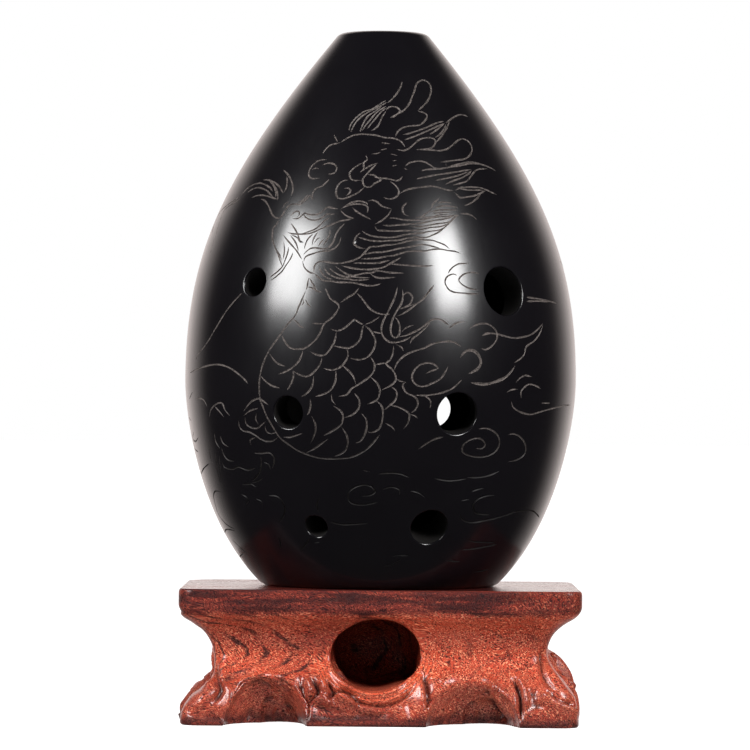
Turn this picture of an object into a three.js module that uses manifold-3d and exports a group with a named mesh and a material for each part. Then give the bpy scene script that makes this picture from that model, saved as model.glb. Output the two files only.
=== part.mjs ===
// A xun, the egg-shaped pottery vessel flute, standing on its carved rosewood stand.
// Lengths are in millimetres. +Z is up, -Y faces the viewer, and the stand rests on z = 0
// with the vessel's axis on the Z axis.

import * as THREE from 'three';
import { mergeVertices } from 'three/addons/utils/BufferGeometryUtils.js';
import Module from 'manifold-3d';

const wasm = await Module();
wasm.setup();

// Vessel, outer form
const vesselHeight = 105;
const beltRadius = 37.15;
const beltHeight = 38.9;
const footRadius = 22.1;
const footEdge = 1.2;
const crownRadius = 8.15;
const crownEdge = 0.9;

// Vessel, clay thickness
const wall = 5;
const footThickness = 6.5;
const crownThickness = 7.5;
const chamberEdge = 3;

// Blow hole in the flat crown
const blowBore = 9.6;
const blowLip = 0.6;
const ceilingLedge = 1.4;

// Finger holes in front, seen from the listener's side, and the thumb holes behind
const upperLeftBore = 5.2;
const upperRightBore = 9.1;
const middleLeftBore = 6;
const middleRightBore = 7.7;
const lowerLeftBore = 4.4;
const lowerRightBore = 7;
const thumbBore = 7;
const upperLeftHeight = 56.8;
const upperRightHeight = 55.5;
const middleRowHeight = 32.8;
const lowerRowHeight = 11.8;
const thumbRowHeight = 32.8;

// Stand, a block with a moulded top, a waist and root-like feet. Its top is as wide as the vessel's
// belt and shows this much past it on each side.
const standOverhang = 0.05;
const standWidth = 2 * (beltRadius + standOverhang);
const standDepth = 48;
const standHeight = 25.3;
const cornerRadius = 3.5;
const slabBand = 4.3;
const slabEdge = 0.5;
const slabUnderDrop = 0.7;
const slabUnderInset = 0.7;
const waistInset = 6;
const waistHeight = 13.4;
const toeHeight = 5.4;
const toeInset = 1.1;
const soleInset = 0.6;

// Stand, the blind oval hollow in its front
const hollowWidth = 16.8;
const hollowHeight = 13.1;
const hollowDepth = 26;
const hollowCentreHeight = 13.2;
const hollowOffset = -0.6;
const hollowTilt = THREE.MathUtils.degToRad(8);

// Stand, scoops that part its feet
const leftNicheWidth = 15.6;
const leftNicheOffset = -20.9;
const leftNicheHeight = 9.8;
const rightNicheWidth = 17.2;
const rightNicheOffset = 17.4;
const rightNicheHeight = 8.6;
const nicheDepth = 9.6;
const sideScoopWidth = 21;
const sideScoopHeight = 12.4;
const sideScoopDepth = 6.4;

// Cutters pass each face they open by this much
const overrun = 1;

// Shape of the egg's curve, as shares of the height and radius that each arc spans
const footFlareShare = 0.79;
const footRiseShare = 0.3;
const beltLowerShare = 0.18;
const beltUpperShare = 0.366;
const crownFlareShare = 0.76;
const crownDropShare = 0.403;

// Shape of the stand's cove and toe, as shares of the height and inset that each arc spans
const coveRiseShare = 0.55;
const coveTopInsetShare = 0.5;
const coveTopRiseShare = 0.82;
const toeRiseShare = 0.35;
const toeTopInsetShare = 0.25;
const toeTopRiseShare = 0.7;

// Facets
const vesselSegments = 56;
const chamberSegments = 40;
const boreSegments = 20;
const hollowSegments = 28;
const scoopSegments = 24;
const scoopRings = 14;
const eggSteps = 12;
const coveSteps = 7;
const edgeSteps = 3;
const cornerSteps = 6;

const pottery = new THREE.MeshStandardMaterial({ color: 0x17181b, roughness: 0.3, metalness: 0 });
const rosewood = new THREE.MeshStandardMaterial({ color: 0x8c3b26, roughness: 0.5, metalness: 0 });

function joinCurves(curves) {
  const points = [];
  for (const [curve, steps] of curves) {
    const part = curve.getPoints(steps);
    points.push(...(points.length > 0 ? part.slice(1) : part));
  }
  return points;
}

function toSolid(geometry) {
  const bare = geometry.clone();
  bare.deleteAttribute('normal');
  bare.deleteAttribute('uv');
  const welded = mergeVertices(bare);
  const corners = welded.index.array;
  const kept = [];
  for (let i = 0; i < corners.length; i += 3) {
    const [a, b, c] = corners.slice(i, i + 3);
    if (a !== b && b !== c && c !== a) kept.push(a, b, c);
  }
  return new wasm.Manifold(new wasm.Mesh({
    numProp: 3,
    vertProperties: Float32Array.from(welded.attributes.position.array),
    triVerts: Uint32Array.from(kept),
  }));
}

function toGeometry(solid) {
  const mesh = solid.getMesh();
  const geometry = new THREE.BufferGeometry();
  geometry.setAttribute('position', new THREE.BufferAttribute(mesh.vertProperties, mesh.numProp));
  geometry.setIndex(new THREE.BufferAttribute(mesh.triVerts, 1));
  geometry.computeVertexNormals();
  return geometry;
}

// A lathe turns about Y, and this object stands along Z
function turned(profile, segments) {
  return new THREE.LatheGeometry(profile, segments).rotateX(Math.PI / 2);
}

// The egg's side as two arcs that meet upright at the belt. Points hold radius and height.
function eggArcs(foot, belt, crown) {
  const lowerRise = belt.y - foot.y;
  const upperRise = crown.y - belt.y;
  const lower = new THREE.CubicBezierCurve(
    foot,
    new THREE.Vector2(foot.x + footFlareShare * (belt.x - foot.x), foot.y + footRiseShare * lowerRise),
    new THREE.Vector2(belt.x, belt.y - beltLowerShare * lowerRise),
    belt,
  );
  const upper = new THREE.CubicBezierCurve(
    belt,
    new THREE.Vector2(belt.x, belt.y + beltUpperShare * upperRise),
    new THREE.Vector2(crown.x + crownFlareShare * (belt.x - crown.x), crown.y - crownDropShare * upperRise),
    crown,
  );
  return [[lower, eggSteps], [upper, eggSteps]];
}

// The vessel's outer side from its flat foot to its flat crown, with both edges rounded
function vesselOutline() {
  const slant = Math.SQRT1_2;
  const foot = new THREE.Vector2(footRadius + slant * footEdge, slant * footEdge);
  const belt = new THREE.Vector2(beltRadius, beltHeight);
  const crown = new THREE.Vector2(crownRadius + slant * crownEdge, vesselHeight - slant * crownEdge);
  const footRound = new THREE.QuadraticBezierCurve(
    new THREE.Vector2(footRadius - footEdge, 0),
    new THREE.Vector2(footRadius, 0),
    foot,
  );
  const crownRound = new THREE.QuadraticBezierCurve(
    crown,
    new THREE.Vector2(crownRadius, vesselHeight),
    new THREE.Vector2(crownRadius - crownEdge, vesselHeight),
  );
  return joinCurves([[footRound, edgeSteps], ...eggArcs(foot, belt, crown), [crownRound, edgeSteps]]);
}

function vesselShell() {
  const axisFoot = new THREE.Vector2(0, 0);
  const axisCrown = new THREE.Vector2(0, vesselHeight);
  return turned([axisFoot, ...vesselOutline(), axisCrown], vesselSegments);
}

// The air chamber follows the outer side at the wall's thickness and has a rounded floor
function airChamber() {
  const ceiling = vesselHeight - crownThickness;
  const floorRadius = footRadius - wall;
  const slant = Math.SQRT1_2;
  const foot = new THREE.Vector2(floorRadius + slant * chamberEdge, footThickness + slant * chamberEdge);
  const belt = new THREE.Vector2(beltRadius - wall, beltHeight);
  const crown = new THREE.Vector2(blowBore / 2 + ceilingLedge, ceiling);
  const floorRound = new THREE.QuadraticBezierCurve(
    new THREE.Vector2(floorRadius - chamberEdge, footThickness),
    new THREE.Vector2(floorRadius, footThickness),
    foot,
  );
  const side = joinCurves([[floorRound, edgeSteps], ...eggArcs(foot, belt, crown)]);
  const axisFloor = new THREE.Vector2(0, footThickness);
  const axisCeiling = new THREE.Vector2(0, ceiling);
  return turned([axisFloor, ...side, axisCeiling], chamberSegments);
}

// The blow hole runs from the chamber's ceiling to the crown, and its lip is rounded over
function blowHole() {
  const radius = blowBore / 2;
  const start = vesselHeight - crownThickness - overrun;
  const end = vesselHeight + overrun;
  const lip = new THREE.QuadraticBezierCurve(
    new THREE.Vector2(radius, vesselHeight - blowLip),
    new THREE.Vector2(radius, vesselHeight),
    new THREE.Vector2(radius + blowLip, vesselHeight),
  );
  return turned([
    new THREE.Vector2(0, start),
    new THREE.Vector2(radius, start),
    ...lip.getPoints(edgeSteps),
    new THREE.Vector2(radius + blowLip, end),
    new THREE.Vector2(0, end),
  ], boreSegments);
}

// Radius and outward slope of the vessel's side at a height
function sideAt(height) {
  const outline = vesselOutline();
  const next = outline.findIndex((point) => point.y > height);
  const above = outline[next];
  const below = outline[next - 1];
  const share = (height - below.y) / (above.y - below.y);
  return {
    radius: THREE.MathUtils.lerp(below.x, above.x, share),
    pitch: Math.atan2(below.x - above.x, above.y - below.y),
  };
}

// Each hole is drilled square to the clay in height. Azimuth is measured from the front (-Y)
// towards +X, and skew turns the drill away from the vessel's axis, seen from above.
const fingerHoles = [
  { bore: upperLeftBore, height: upperLeftHeight, azimuth: -41.3, skew: 0 },
  { bore: upperRightBore, height: upperRightHeight, azimuth: 39.4, skew: 0 },
  { bore: middleLeftBore, height: middleRowHeight, azimuth: -27.6, skew: 0 },
  { bore: middleRightBore, height: middleRowHeight, azimuth: 22.6, skew: -10.6 },
  { bore: lowerLeftBore, height: lowerRowHeight, azimuth: -22.5, skew: 0 },
  { bore: lowerRightBore, height: lowerRowHeight, azimuth: 17.6, skew: 0 },
  { bore: thumbBore, height: thumbRowHeight, azimuth: 160.5, skew: 0 },
  { bore: thumbBore, height: thumbRowHeight, azimuth: -160.5, skew: 0 },
];

function fingerHole({ bore, height, azimuth, skew }) {
  const { radius, pitch } = sideAt(height);
  const around = THREE.MathUtils.degToRad(azimuth);
  const drill = THREE.MathUtils.degToRad(azimuth + skew);
  const reach = wall + bore;
  return new THREE.CylinderGeometry(bore / 2, bore / 2, 2 * reach, boreSegments)
    .rotateX(-pitch)
    .rotateZ(drill)
    .translate(radius * Math.sin(around), -radius * Math.cos(around), height);
}

function xunBody() {
  let body = toSolid(vesselShell()).subtract(toSolid(airChamber())).subtract(toSolid(blowHole()));
  for (const hole of fingerHoles) body = body.subtract(toSolid(fingerHole(hole)));
  const mesh = new THREE.Mesh(toGeometry(body), pottery);
  mesh.name = 'xun_body';
  mesh.position.z = standHeight;
  return mesh;
}

// How far the stand's side lies inside the top's outline at each height, from sole to top
function standSide() {
  const slabUnder = standHeight - slabBand;
  const coveTop = slabUnder - slabUnderDrop;
  const coveRise = coveTop - waistHeight;
  const coveSpan = waistInset - slabUnderInset;
  const toeRise = waistHeight - toeHeight;
  const toeSpan = waistInset - toeInset;
  const sole = new THREE.QuadraticBezierCurve(
    new THREE.Vector2(soleInset, 0),
    new THREE.Vector2(0, 0),
    new THREE.Vector2(toeInset, toeHeight),
  );
  const toe = new THREE.CubicBezierCurve(
    new THREE.Vector2(toeInset, toeHeight),
    new THREE.Vector2(toeInset + toeTopInsetShare * toeSpan, toeHeight + toeRiseShare * toeRise),
    new THREE.Vector2(waistInset, toeHeight + toeTopRiseShare * toeRise),
    new THREE.Vector2(waistInset, waistHeight),
  );
  const cove = new THREE.CubicBezierCurve(
    new THREE.Vector2(waistInset, waistHeight),
    new THREE.Vector2(waistInset, waistHeight + coveRiseShare * coveRise),
    new THREE.Vector2(slabUnderInset + coveTopInsetShare * coveSpan, waistHeight + coveTopRiseShare * coveRise),
    new THREE.Vector2(slabUnderInset, coveTop),
  );
  const underRound = new THREE.QuadraticBezierCurve(
    new THREE.Vector2(slabUnderInset, coveTop),
    new THREE.Vector2(0, coveTop),
    new THREE.Vector2(0, slabUnder),
  );
  const topRound = new THREE.QuadraticBezierCurve(
    new THREE.Vector2(0, standHeight - slabEdge),
    new THREE.Vector2(0, standHeight),
    new THREE.Vector2(slabEdge, standHeight),
  );
  const side = joinCurves([[sole, edgeSteps], [toe, coveSteps], [cove, coveSteps], [underRound, edgeSteps]]);
  return [...side, ...topRound.getPoints(edgeSteps)];
}

// One level of the stand: a rectangle with rounded corners, anticlockwise seen from above
function standRing(inset, level) {
  const across = standWidth / 2 - cornerRadius;
  const along = standDepth / 2 - cornerRadius;
  const ring = [];
  for (let corner = 0; corner < 4; corner += 1) {
    const right = corner === 0 || corner === 3 ? 1 : -1;
    const back = corner < 2 ? 1 : -1;
    for (let step = 0; step <= cornerSteps; step += 1) {
      const angle = (corner + step / cornerSteps) * Math.PI / 2;
      ring.push(new THREE.Vector3(
        right * (across - inset) + cornerRadius * Math.cos(angle),
        back * (along - inset) + cornerRadius * Math.sin(angle),
        level,
      ));
    }
  }
  return ring;
}

// Skins a stack of rings from the lowest to the highest and closes both ends
function loft(rings) {
  const count = rings[0].length;
  const last = rings.length - 1;
  const points = rings.flat();
  const triangles = [];
  for (let level = 0; level < last; level += 1) {
    for (let i = 0; i < count; i += 1) {
      const a = level * count + i;
      const b = level * count + (i + 1) % count;
      triangles.push(a, b, b + count, a, b + count, a + count);
    }
  }
  for (let i = 1; i < count - 1; i += 1) {
    triangles.push(0, i + 1, i);
    triangles.push(last * count, last * count + i, last * count + i + 1);
  }
  const geometry = new THREE.BufferGeometry().setFromPoints(points);
  geometry.setIndex(triangles);
  return geometry;
}

function standBlock() {
  return loft(standSide().map((point) => standRing(point.x, point.y)));
}

// The blind hollow is a round-ended bore pressed to an oval and turned a little on its axis
function ovalHollow() {
  const radius = hollowHeight / 2;
  const mouth = standDepth / 2 + overrun;
  const floor = standDepth / 2 - waistInset - hollowDepth;
  const endRound = new THREE.QuadraticBezierCurve(
    new THREE.Vector2(0, floor),
    new THREE.Vector2(radius, floor),
    new THREE.Vector2(radius, floor + radius),
  );
  const profile = [...endRound.getPoints(coveSteps), new THREE.Vector2(radius, mouth), new THREE.Vector2(0, mouth)];
  return turned(profile, hollowSegments)
    .scale(hollowWidth / hollowHeight, 1, 1)
    .rotateZ(hollowTilt)
    .rotateX(Math.PI / 2)
    .translate(hollowOffset, 0, hollowCentreHeight);
}

// An egg-shaped gouge cut that stands on the floor level, centred on a face of the block
function scoop(width, depth, height) {
  return new THREE.SphereGeometry(1, scoopSegments, scoopRings)
    .rotateX(Math.PI / 2)
    .scale(width / 2, depth, height);
}

function standScoops() {
  const front = -standDepth / 2;
  const side = standWidth / 2;
  const scoops = [];
  for (const turn of [0, Math.PI]) {
    scoops.push(
      scoop(leftNicheWidth, nicheDepth, leftNicheHeight).translate(leftNicheOffset, front, 0).rotateZ(turn),
      scoop(rightNicheWidth, nicheDepth, rightNicheHeight).translate(rightNicheOffset, front, 0).rotateZ(turn),
      scoop(sideScoopWidth, sideScoopDepth, sideScoopHeight).rotateZ(Math.PI / 2).translate(side, 0, 0).rotateZ(turn),
    );
  }
  return scoops;
}

function displayStand() {
  let block = toSolid(standBlock()).subtract(toSolid(ovalHollow()));
  for (const cut of standScoops()) block = block.subtract(toSolid(cut));
  const mesh = new THREE.Mesh(toGeometry(block), rosewood);
  mesh.name = 'display_stand';
  return mesh;
}

const xunOnStand = new THREE.Group();
xunOnStand.add(displayStand(), xunBody());

export default xunOnStand;
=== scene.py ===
"""A xun, an egg-shaped vessel flute of black polished pottery with engraved lines, on a rosewood stand.

Both are worked out in millimetres, with -Y to the front. The vessel's foot is on z = 0 until row_place() puts
it on the stand, in the metres of the shared frame. The stand's sole is on z = 0 in both.
"""

import math
from contextlib import contextmanager

import bmesh
import bpy
import numpy as np
from mathutils import Matrix, Vector, geometry, kdtree


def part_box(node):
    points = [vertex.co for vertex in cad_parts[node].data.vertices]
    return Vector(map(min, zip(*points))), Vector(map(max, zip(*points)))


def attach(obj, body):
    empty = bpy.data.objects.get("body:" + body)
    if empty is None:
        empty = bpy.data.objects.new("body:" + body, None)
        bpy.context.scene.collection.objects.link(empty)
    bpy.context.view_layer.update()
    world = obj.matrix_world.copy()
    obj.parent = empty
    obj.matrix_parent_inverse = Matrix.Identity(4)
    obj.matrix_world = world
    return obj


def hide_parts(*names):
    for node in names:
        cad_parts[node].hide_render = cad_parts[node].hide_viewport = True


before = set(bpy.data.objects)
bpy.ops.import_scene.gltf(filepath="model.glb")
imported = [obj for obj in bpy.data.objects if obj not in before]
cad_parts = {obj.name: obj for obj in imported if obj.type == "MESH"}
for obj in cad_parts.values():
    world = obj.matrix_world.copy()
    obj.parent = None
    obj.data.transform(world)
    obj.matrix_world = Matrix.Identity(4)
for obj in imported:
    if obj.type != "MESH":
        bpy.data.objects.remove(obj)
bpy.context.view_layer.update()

MM = 0.001
VESSEL_LOW, VESSEL_HIGH = (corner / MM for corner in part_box("xun_body"))
STAND_LOW, STAND_HIGH = (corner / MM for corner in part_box("display_stand"))
STAND_HEIGHT = STAND_HIGH.z - STAND_LOW.z

# The photograph's view, through a long lens. Names in PX are pixels of its 750 by 750 frame, the roll is in
# radians, the clip in metres and the rest in millimetres, with the height counted from the vessel's foot.
PHOTO_SIDE_PX = 750
FOCAL_PX = 4465
AXIS_X_PX = 380.6
HORIZON_Y_PX = 405
CENTRE_PX = PHOTO_SIDE_PX / 2
ROLL = 0.00803
VIEW_DISTANCE = 850
VIEW_HEIGHT = 34.3
SENSOR_WIDTH = 36
VIEW_CLIP = (0.05, 20)

# Softboxes: azimuth from the viewer's side towards the right and elevation, both in degrees, width and height
# in metres, and power. All face one point of the axis, so many millimetres above the vessel's foot, from a
# distance in metres.
SOFTBOXES = {
    "left_softbox": (-58, 26.2, 0.26, 0.265, 5.4),
    "right_softbox": (43, 27, 0.2, 0.275, 5.2),
}
LIGHT_DISTANCE = 0.6
LIGHT_AIM = 58

# Studio: how bright its surround, backdrop and floor are, between which parts of a direction they fade, and
# the tint of what the object reflects
SURROUND = 0.03
BACKDROP = 1.2
BACKDROP_LOW = 0.4
BACKDROP_EDGE = (0.55, 0.95)
BACKDROP_FADE = (-0.35, -0.05)
FLOOR_REACH = 6
FLOOR_GLOW = 1.45
FLOOR_EDGE = (0, 0.5)
STUDIO_GLOW = 0.15
GLOSS_TINT = (1.1, 0.98, 0.945)
WHITE = (1, 1, 1)
FLOOR_GREY = (0.25, 0.25, 0.25)
FLOOR_WHITENESS = 0.97

# Colours, as linear red, green and blue. A surface with two of them varies between them.
POLISHED_CLAY = (0.0019, 0.0016, 0.0024), (0.0035, 0.0031, 0.0042)
BARED_CLAY = (0.03, 0.0255, 0.0237), (0.122, 0.104, 0.096)
# Engraved lines low on the vessel: a darker colour that is painted shade
SHADED_LINE_CLAY = (0.0018, 0.0015, 0.0015), (0.0065, 0.0054, 0.005)
RAW_CLAY = (0.003, 0.0027, 0.0028), (0.009, 0.008, 0.0075)
WOOD = (0.22, 0.0212, 0.0102), (0.415, 0.0485, 0.0202)
LIP_WOOD = (0.6, 0.075, 0.025)
# Painted shade on the low part of the feet
FOOT_SHADE_WOOD = (0.05, 0.008, 0.008)
# Painted shade in the creases of the carving
CREASE_SHADE = (0.018, 0.003, 0.004)
GROWTH_LINE = (0.03, 0.005, 0.005)
LIP_LINE = (0.05, 0.008, 0.006)
FLECK = (0.9, 0.34, 0.18)
PORE = (0.015, 0.004, 0.004)
SLAB_WOOD = (0.03, 0.005, 0.0052), (0.105, 0.0125, 0.0088)
SLAB_FLECK = (0.42, 0.08, 0.04)
SLAB_PORE = (0.01, 0.004, 0.005)
PLANED_WOOD = (0.035, 0.006, 0.006), (0.15, 0.022, 0.014)

# Where one look gives way to the next, from one place to the other, in millimetres of the shared frame:
# heights, but for the right side, the slab's right end and how far in the front's lip goes
# Heights over which the engraved lines go from painted shade to their bared colour
LINES_SHADED = (44, 64)
RIGHT_SIDE = (2, 12)
# The slab's right end is paler: painted light
SLAB_RIGHT_END_LIT = (18, 32)
LIP_INWARD = (-16, -12)
FEET_SHADED = (4, 12)
GROWTH_FAINT = (6, 10.5)
FEET_OILED = (6, 14)
# The sole's dark band: partly the wood's own, partly painted contact shade
SOLE_SHADED = (0.8, 2.8)
# The slab's dark band: partly the wood's own, partly painted shade on its upright face
SLAB_DARK = (20.3, 21.3)
TOP_PLANED = (25.05, 25.2)

# Vessel, the same outline as its solid
VESSEL_HEIGHT = VESSEL_HIGH.z - VESSEL_LOW.z
BELT_RADIUS = (VESSEL_HIGH.x - VESSEL_LOW.x) / 2
BELT_HEIGHT = 38.9
FOOT_RADIUS = 22.1
FOOT_EDGE = 1.2
CROWN_RADIUS = 8.15
CROWN_EDGE = 0.9
WALL = 5
FOOT_THICKNESS = 6.5
CROWN_THICKNESS = 7.5
CHAMBER_EDGE = 3
BLOW_RADIUS = 4.8
BLOW_LIP = 0.6
CEILING_LEDGE = 1.4
FOOT_SHARES = (0.79, 0.3)
BELT_SHARES = (0.18, 0.366)
CROWN_SHARES = (0.76, 0.403)

# Vessel, how finely its skin is divided
COLUMNS = 144
ROW_STEP = 1.15
CHAMBER_ROW_STEP = 2.6
OUTLINE_SAMPLES = 400
EDGE_SAMPLES = 6
RIM_POINTS = 56
RIM_ROUND = 0.3
RIM_STEPS = 4

# Vessel, how a bore or a line of the photograph is brought to its skin: the search's reach and steps, and the
# share of the outline's half width that a line keeps within
SEARCH_REACH = 3.0 * WALL
SEARCH_STEPS = 40
VIEW_STEPS = 30
WIDEST_SHARE = 0.995

# Vessel, its shading: the angle in degrees from which an edge is sharp, and how near the true outline a point
# has to lie to take the outline's own normal
SHARP_ANGLE = 35
SKIN_NEARNESS = 0.002
LEVEL_NEARNESS = 1e-4

# How near two points of a mesh have to be to count as one, in metres
WELD_REACH = 2e-7
SAME_PLACE = 1e-7

# Engraved lines: a V-shaped cut of this width and depth, which tapers at its ends and wavers a little. Its
# places are a step apart, and a run that bores leave too few of is left out.
LINE_WIDTH = 0.3
BOLD_LINE_WIDTH = 0.5
LINE_TAPER = 2.5
LINE_END = 0.3
LINE_WAVER = 0.15
WAVER_PACE = 0.9
LINE_DEPTH = 0.13
LINE_STEP = 0.75
LINE_CLEARANCE = 0.5
SHORTEST_RUN = 3

# Finger holes in front and thumb holes behind: diameter and height, then azimuth from the front and skew, in
# degrees
HOLES = {
    "upper_left": (5.2, 56.8, -41.3, 0),
    "upper_right": (9.1, 55.5, 39.4, 0),
    "middle_left": (6.0, 32.8, -27.6, 0),
    "middle_right": (7.7, 32.8, 22.6, -10.6),
    "lower_left": (4.4, 11.8, -22.5, 0),
    "lower_right": (7.0, 11.8, 17.6, 0),
    "thumb_right": (7.0, 32.8, 160.5, 0),
    "thumb_left": (7.0, 32.8, -160.5, 0),
}

# Stand, the same block as its solid
STAND_WIDTH = 74.4
STAND_DEPTH = 48
CORNER_RADIUS = 3.5
SLAB_BAND = 4.3
SLAB_EDGE = 0.5
SLAB_UNDER_DROP = 0.7
SLAB_UNDER_INSET = 0.7
WAIST_INSET = 6
WAIST_HEIGHT = 13.4
TOE_HEIGHT = 5.4
TOE_INSET = 1.1
SOLE_INSET = 0.6
COVE_SHARES = (0.55, 0.5, 0.82)
TOE_SHARES = (0.35, 0.25, 0.7)
HOLLOW_SIZE = (16.8, 13.1, 26)
HOLLOW_CENTRE = (-0.6, 13.2)
HOLLOW_TILT = 8

# Stand, the centre and radii of the ellipsoids that fill out its rear feet and of those that are scooped out
REAR_FEET = {
    "left": ((-27.0, 15.0, 2.2), (7.6, 8.0, 7.2)),
    "right": ((28.2, 15.0, 5.0), (9.2, 8.0, 8.6)),
}
ARCHES = {
    "left": ((-20.9, -24.0, 0), (7.7, 9.6, 9.6)),
    "left pocket": ((-18.4, -21.5, 0), (4.8, 10.0, 7.6)),
    "right": ((17.4, -24.0, 0), (8.5, 9.6, 8.4)),
    "right pocket": ((19.6, -21.5, 0), (5.4, 9.8, 6.2)),
}
END_SCOOP = ((37.2, 0, 0), (6.4, 10.5, 12.4))
# A half turn about the upright axis, which brings the front's cuts to the back
TURNED = (-1, -1, 1)

# Stand, where it isn't regular: the radii of its rear corners on the left and the right, how much wider its
# right half is, and the left end's inset at each height, which grows to its full size from one reach from the
# middle to the other
REAR_CORNERS = {-1: 8.5, 1: 5.5}
RIGHT_HALF_SWELL = 0.6
LEFT_END = [(0, 0), (2.4, 0.1), (3.5, 0.35), (5, 1.1), (6.4, 1.8), (8, 1.2), (8.8, 0.8), (9.6, 1.0),
            (11.6, 0.45), (14.5, 0.2), (15.5, 0), (17.4, -0.4), (18.2, -0.75), (19.6, -0.9), (20.4, -0.6),
            (21.0, 0)]
LEFT_END_REACH = (22, 33)

# Stand, how finely its block is divided. The carving that the front shows keeps all its triangles.
WOOD_VOXEL = 0.33
WOOD_TRIANGLES = 190000
SHOWN_CARVING = (-12, -8)
FLAT_WOOD = (0.9, 0.97)
SIDE_SAMPLES = 24
CORNER_SAMPLES = 14
HOLLOW_SEGMENTS = 96
HOLLOW_END_SAMPLES = 16
HOLLOW_TIP = 0.3

# Gouge marks: their depth in millimetres, how many there are to a metre, how waves and round cells share in
# them, and where they fade out
MARK_DEPTH = 0.09
MARKS_PER_METRE = 330
MARK_SEED = 7.0
MARK_WAVES = 1.6
MARK_CELLS = 0.8
CELL_SMOOTHNESS = 0.4
MARK_MIDDLE = 1.3
MARKED_FACING = (0.8, 0.97)
SLAB_MARKS = 0.25
SOLE_FADE = 0.6
TOP_FADE = (0.8, 0.2)
GRAIN_STRETCH = (0.45, 1, 1)

# Carving: the step along its paths, how fast it fades at their ends, how sharp its ridges are, how squarely
# the wood has to face a side to be carved, and how far from the top it ends under the slab
PX_PER_MM = 5.39
CARVING_STEP = 1.2
FADE_RATE = 5
RIDGE_POWER = 1.3
SIDE_FACING = (0.2, 0.6)
LEVEL_FACING = (0.75, 0.95)
SLAB_FADE = (5.5, 4)
LIFT_LIMITS = (-2.2, 1.7)
# The top and the sole are planed flat after it: the band that goes flat, and how squarely it faces up or down
FLAT_BAND = 0.3
FLAT_FACING = 0.8

# Ridges and creases of the front: height and the widths of both sides in millimetres, and the path in pixels
# of the photograph. The first width is on the right of a path that runs down, and above one that runs right.
ROOTS = {
    "left foot pinch": (-1.3, 1.0, 1.4, [(209, 664), (212, 672), (213, 682), (213, 694), (211, 705)]),
    "left foot outer plane": (0.6, 2.0, 2.5, [(205, 678), (200, 688), (197, 698), (199, 710)]),
    "left foot inner plane": (0.6, 1.6, 2.2, [(219, 680), (224, 692), (227, 703), (225, 714)]),
    "left foot pinch line": (-0.6, 0.8, 0.6, [(211, 677), (222, 679), (234, 677), (246, 673), (257, 670)]),
    "left foot ledge": (-0.7, 2.6, 0.25, [(182, 711), (192, 714), (204, 717), (218, 720), (238, 720)]),
    "left arch side": (-1.2, 1.8, 0.3, [(247, 680), (239, 684), (234, 692), (231, 701), (229, 710)]),
    "left arch top": (-0.8, 0.3, 1.6, [(243, 681), (254, 679), (264, 682), (272, 688), (279, 695)]),
    "left arch root": (1.1, 2.0, 1.4, [(264, 672), (280, 682), (292, 694), (300, 707), (304, 721)]),
    "leaf crease": (-1.3, 0.5, 1.5, [(300, 675), (303, 688), (305, 694), (307, 702), (308, 712),
                                     (307, 722)]),
    "first knuckle": (1.1, 1.2, 1.2, [(305, 679), (309, 684), (311, 690), (310, 696)]),
    "first knuckle edge": (-1.4, 0.4, 1.2, [(311, 675), (316, 683), (319, 689), (317, 694), (313, 699),
                                            (309, 706), (308, 713)]),
    "second knuckle": (1.1, 1.0, 1.1, [(320, 679), (324, 685), (325, 692)]),
    "second knuckle edge": (-1.4, 0.4, 1.1, [(326, 679), (332, 686), (333, 691), (331, 696), (327, 700)]),
    "third plane": (1.3, 0.4, 1.8, [(312, 702), (317, 698), (323, 696), (328, 700), (334, 706)]),
    "third knuckle": (1.5, 0.7, 1.6, [(334, 699), (340, 696), (346, 697), (352, 702), (356, 708)]),
    "third knuckle edge": (-1.3, 0.8, 0.4, [(330, 697), (335, 692), (340, 690), (347, 691), (353, 695),
                                            (357, 702)]),
    "under the knuckles": (-0.7, 1.0, 2.2, [(310, 706), (322, 707), (336, 711), (350, 712)]),
    "toe ledge": (-0.5, 1.6, 0.3, [(310, 716), (330, 719), (352, 720), (374, 719), (396, 721)]),
    "facet edge": (1.1, 0.6, 2.8, [(418, 674), (422, 690), (424, 705), (427, 722)]),
    "facet crease": (-1.2, 1.6, 0.35, [(422, 670), (425, 686), (427, 704), (430, 722)]),
    "small facet": (0.7, 1.0, 1.0, [(426, 681), (433, 679), (441, 683)]),
    "right arch shoulder": (0.5, 1.8, 1.8, [(446, 672), (443, 690), (440, 706), (437, 720)]),
    "right arch side": (-1.2, 0.3, 2.4, [(485, 688), (491, 700), (498, 710), (507, 722)]),
    "right arch root": (1.3, 1.4, 1.6, [(484, 676), (495, 690), (503, 703), (512, 720)]),
    "right crease": (-1.7, 0.35, 1.1, [(512, 676), (518, 689), (520, 700), (520, 712), (519, 722)]),
    "right crease edge": (0.8, 0.9, 0.4, [(514, 674), (521, 687), (524, 698), (523, 710)]),
    "right foot dip": (-0.8, 2.4, 2.4, [(532, 688), (533, 700), (536, 712)]),
    "right foot ridge": (1.3, 0.5, 2.4, [(534, 690), (546, 697), (556, 704), (568, 709), (579, 716)]),
    "right foot hollow": (-0.9, 1.8, 0.5, [(544, 690), (556, 698), (567, 703), (577, 707)]),
    "corner band inside": (-1.1, 0.4, 1.1, [(541, 646), (541, 660), (542, 672), (548, 683), (556, 691)]),
    "corner band outside": (1.2, 0.5, 1.3, [(547, 648), (549, 663), (554, 675), (562, 682), (572, 688)]),
}
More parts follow.
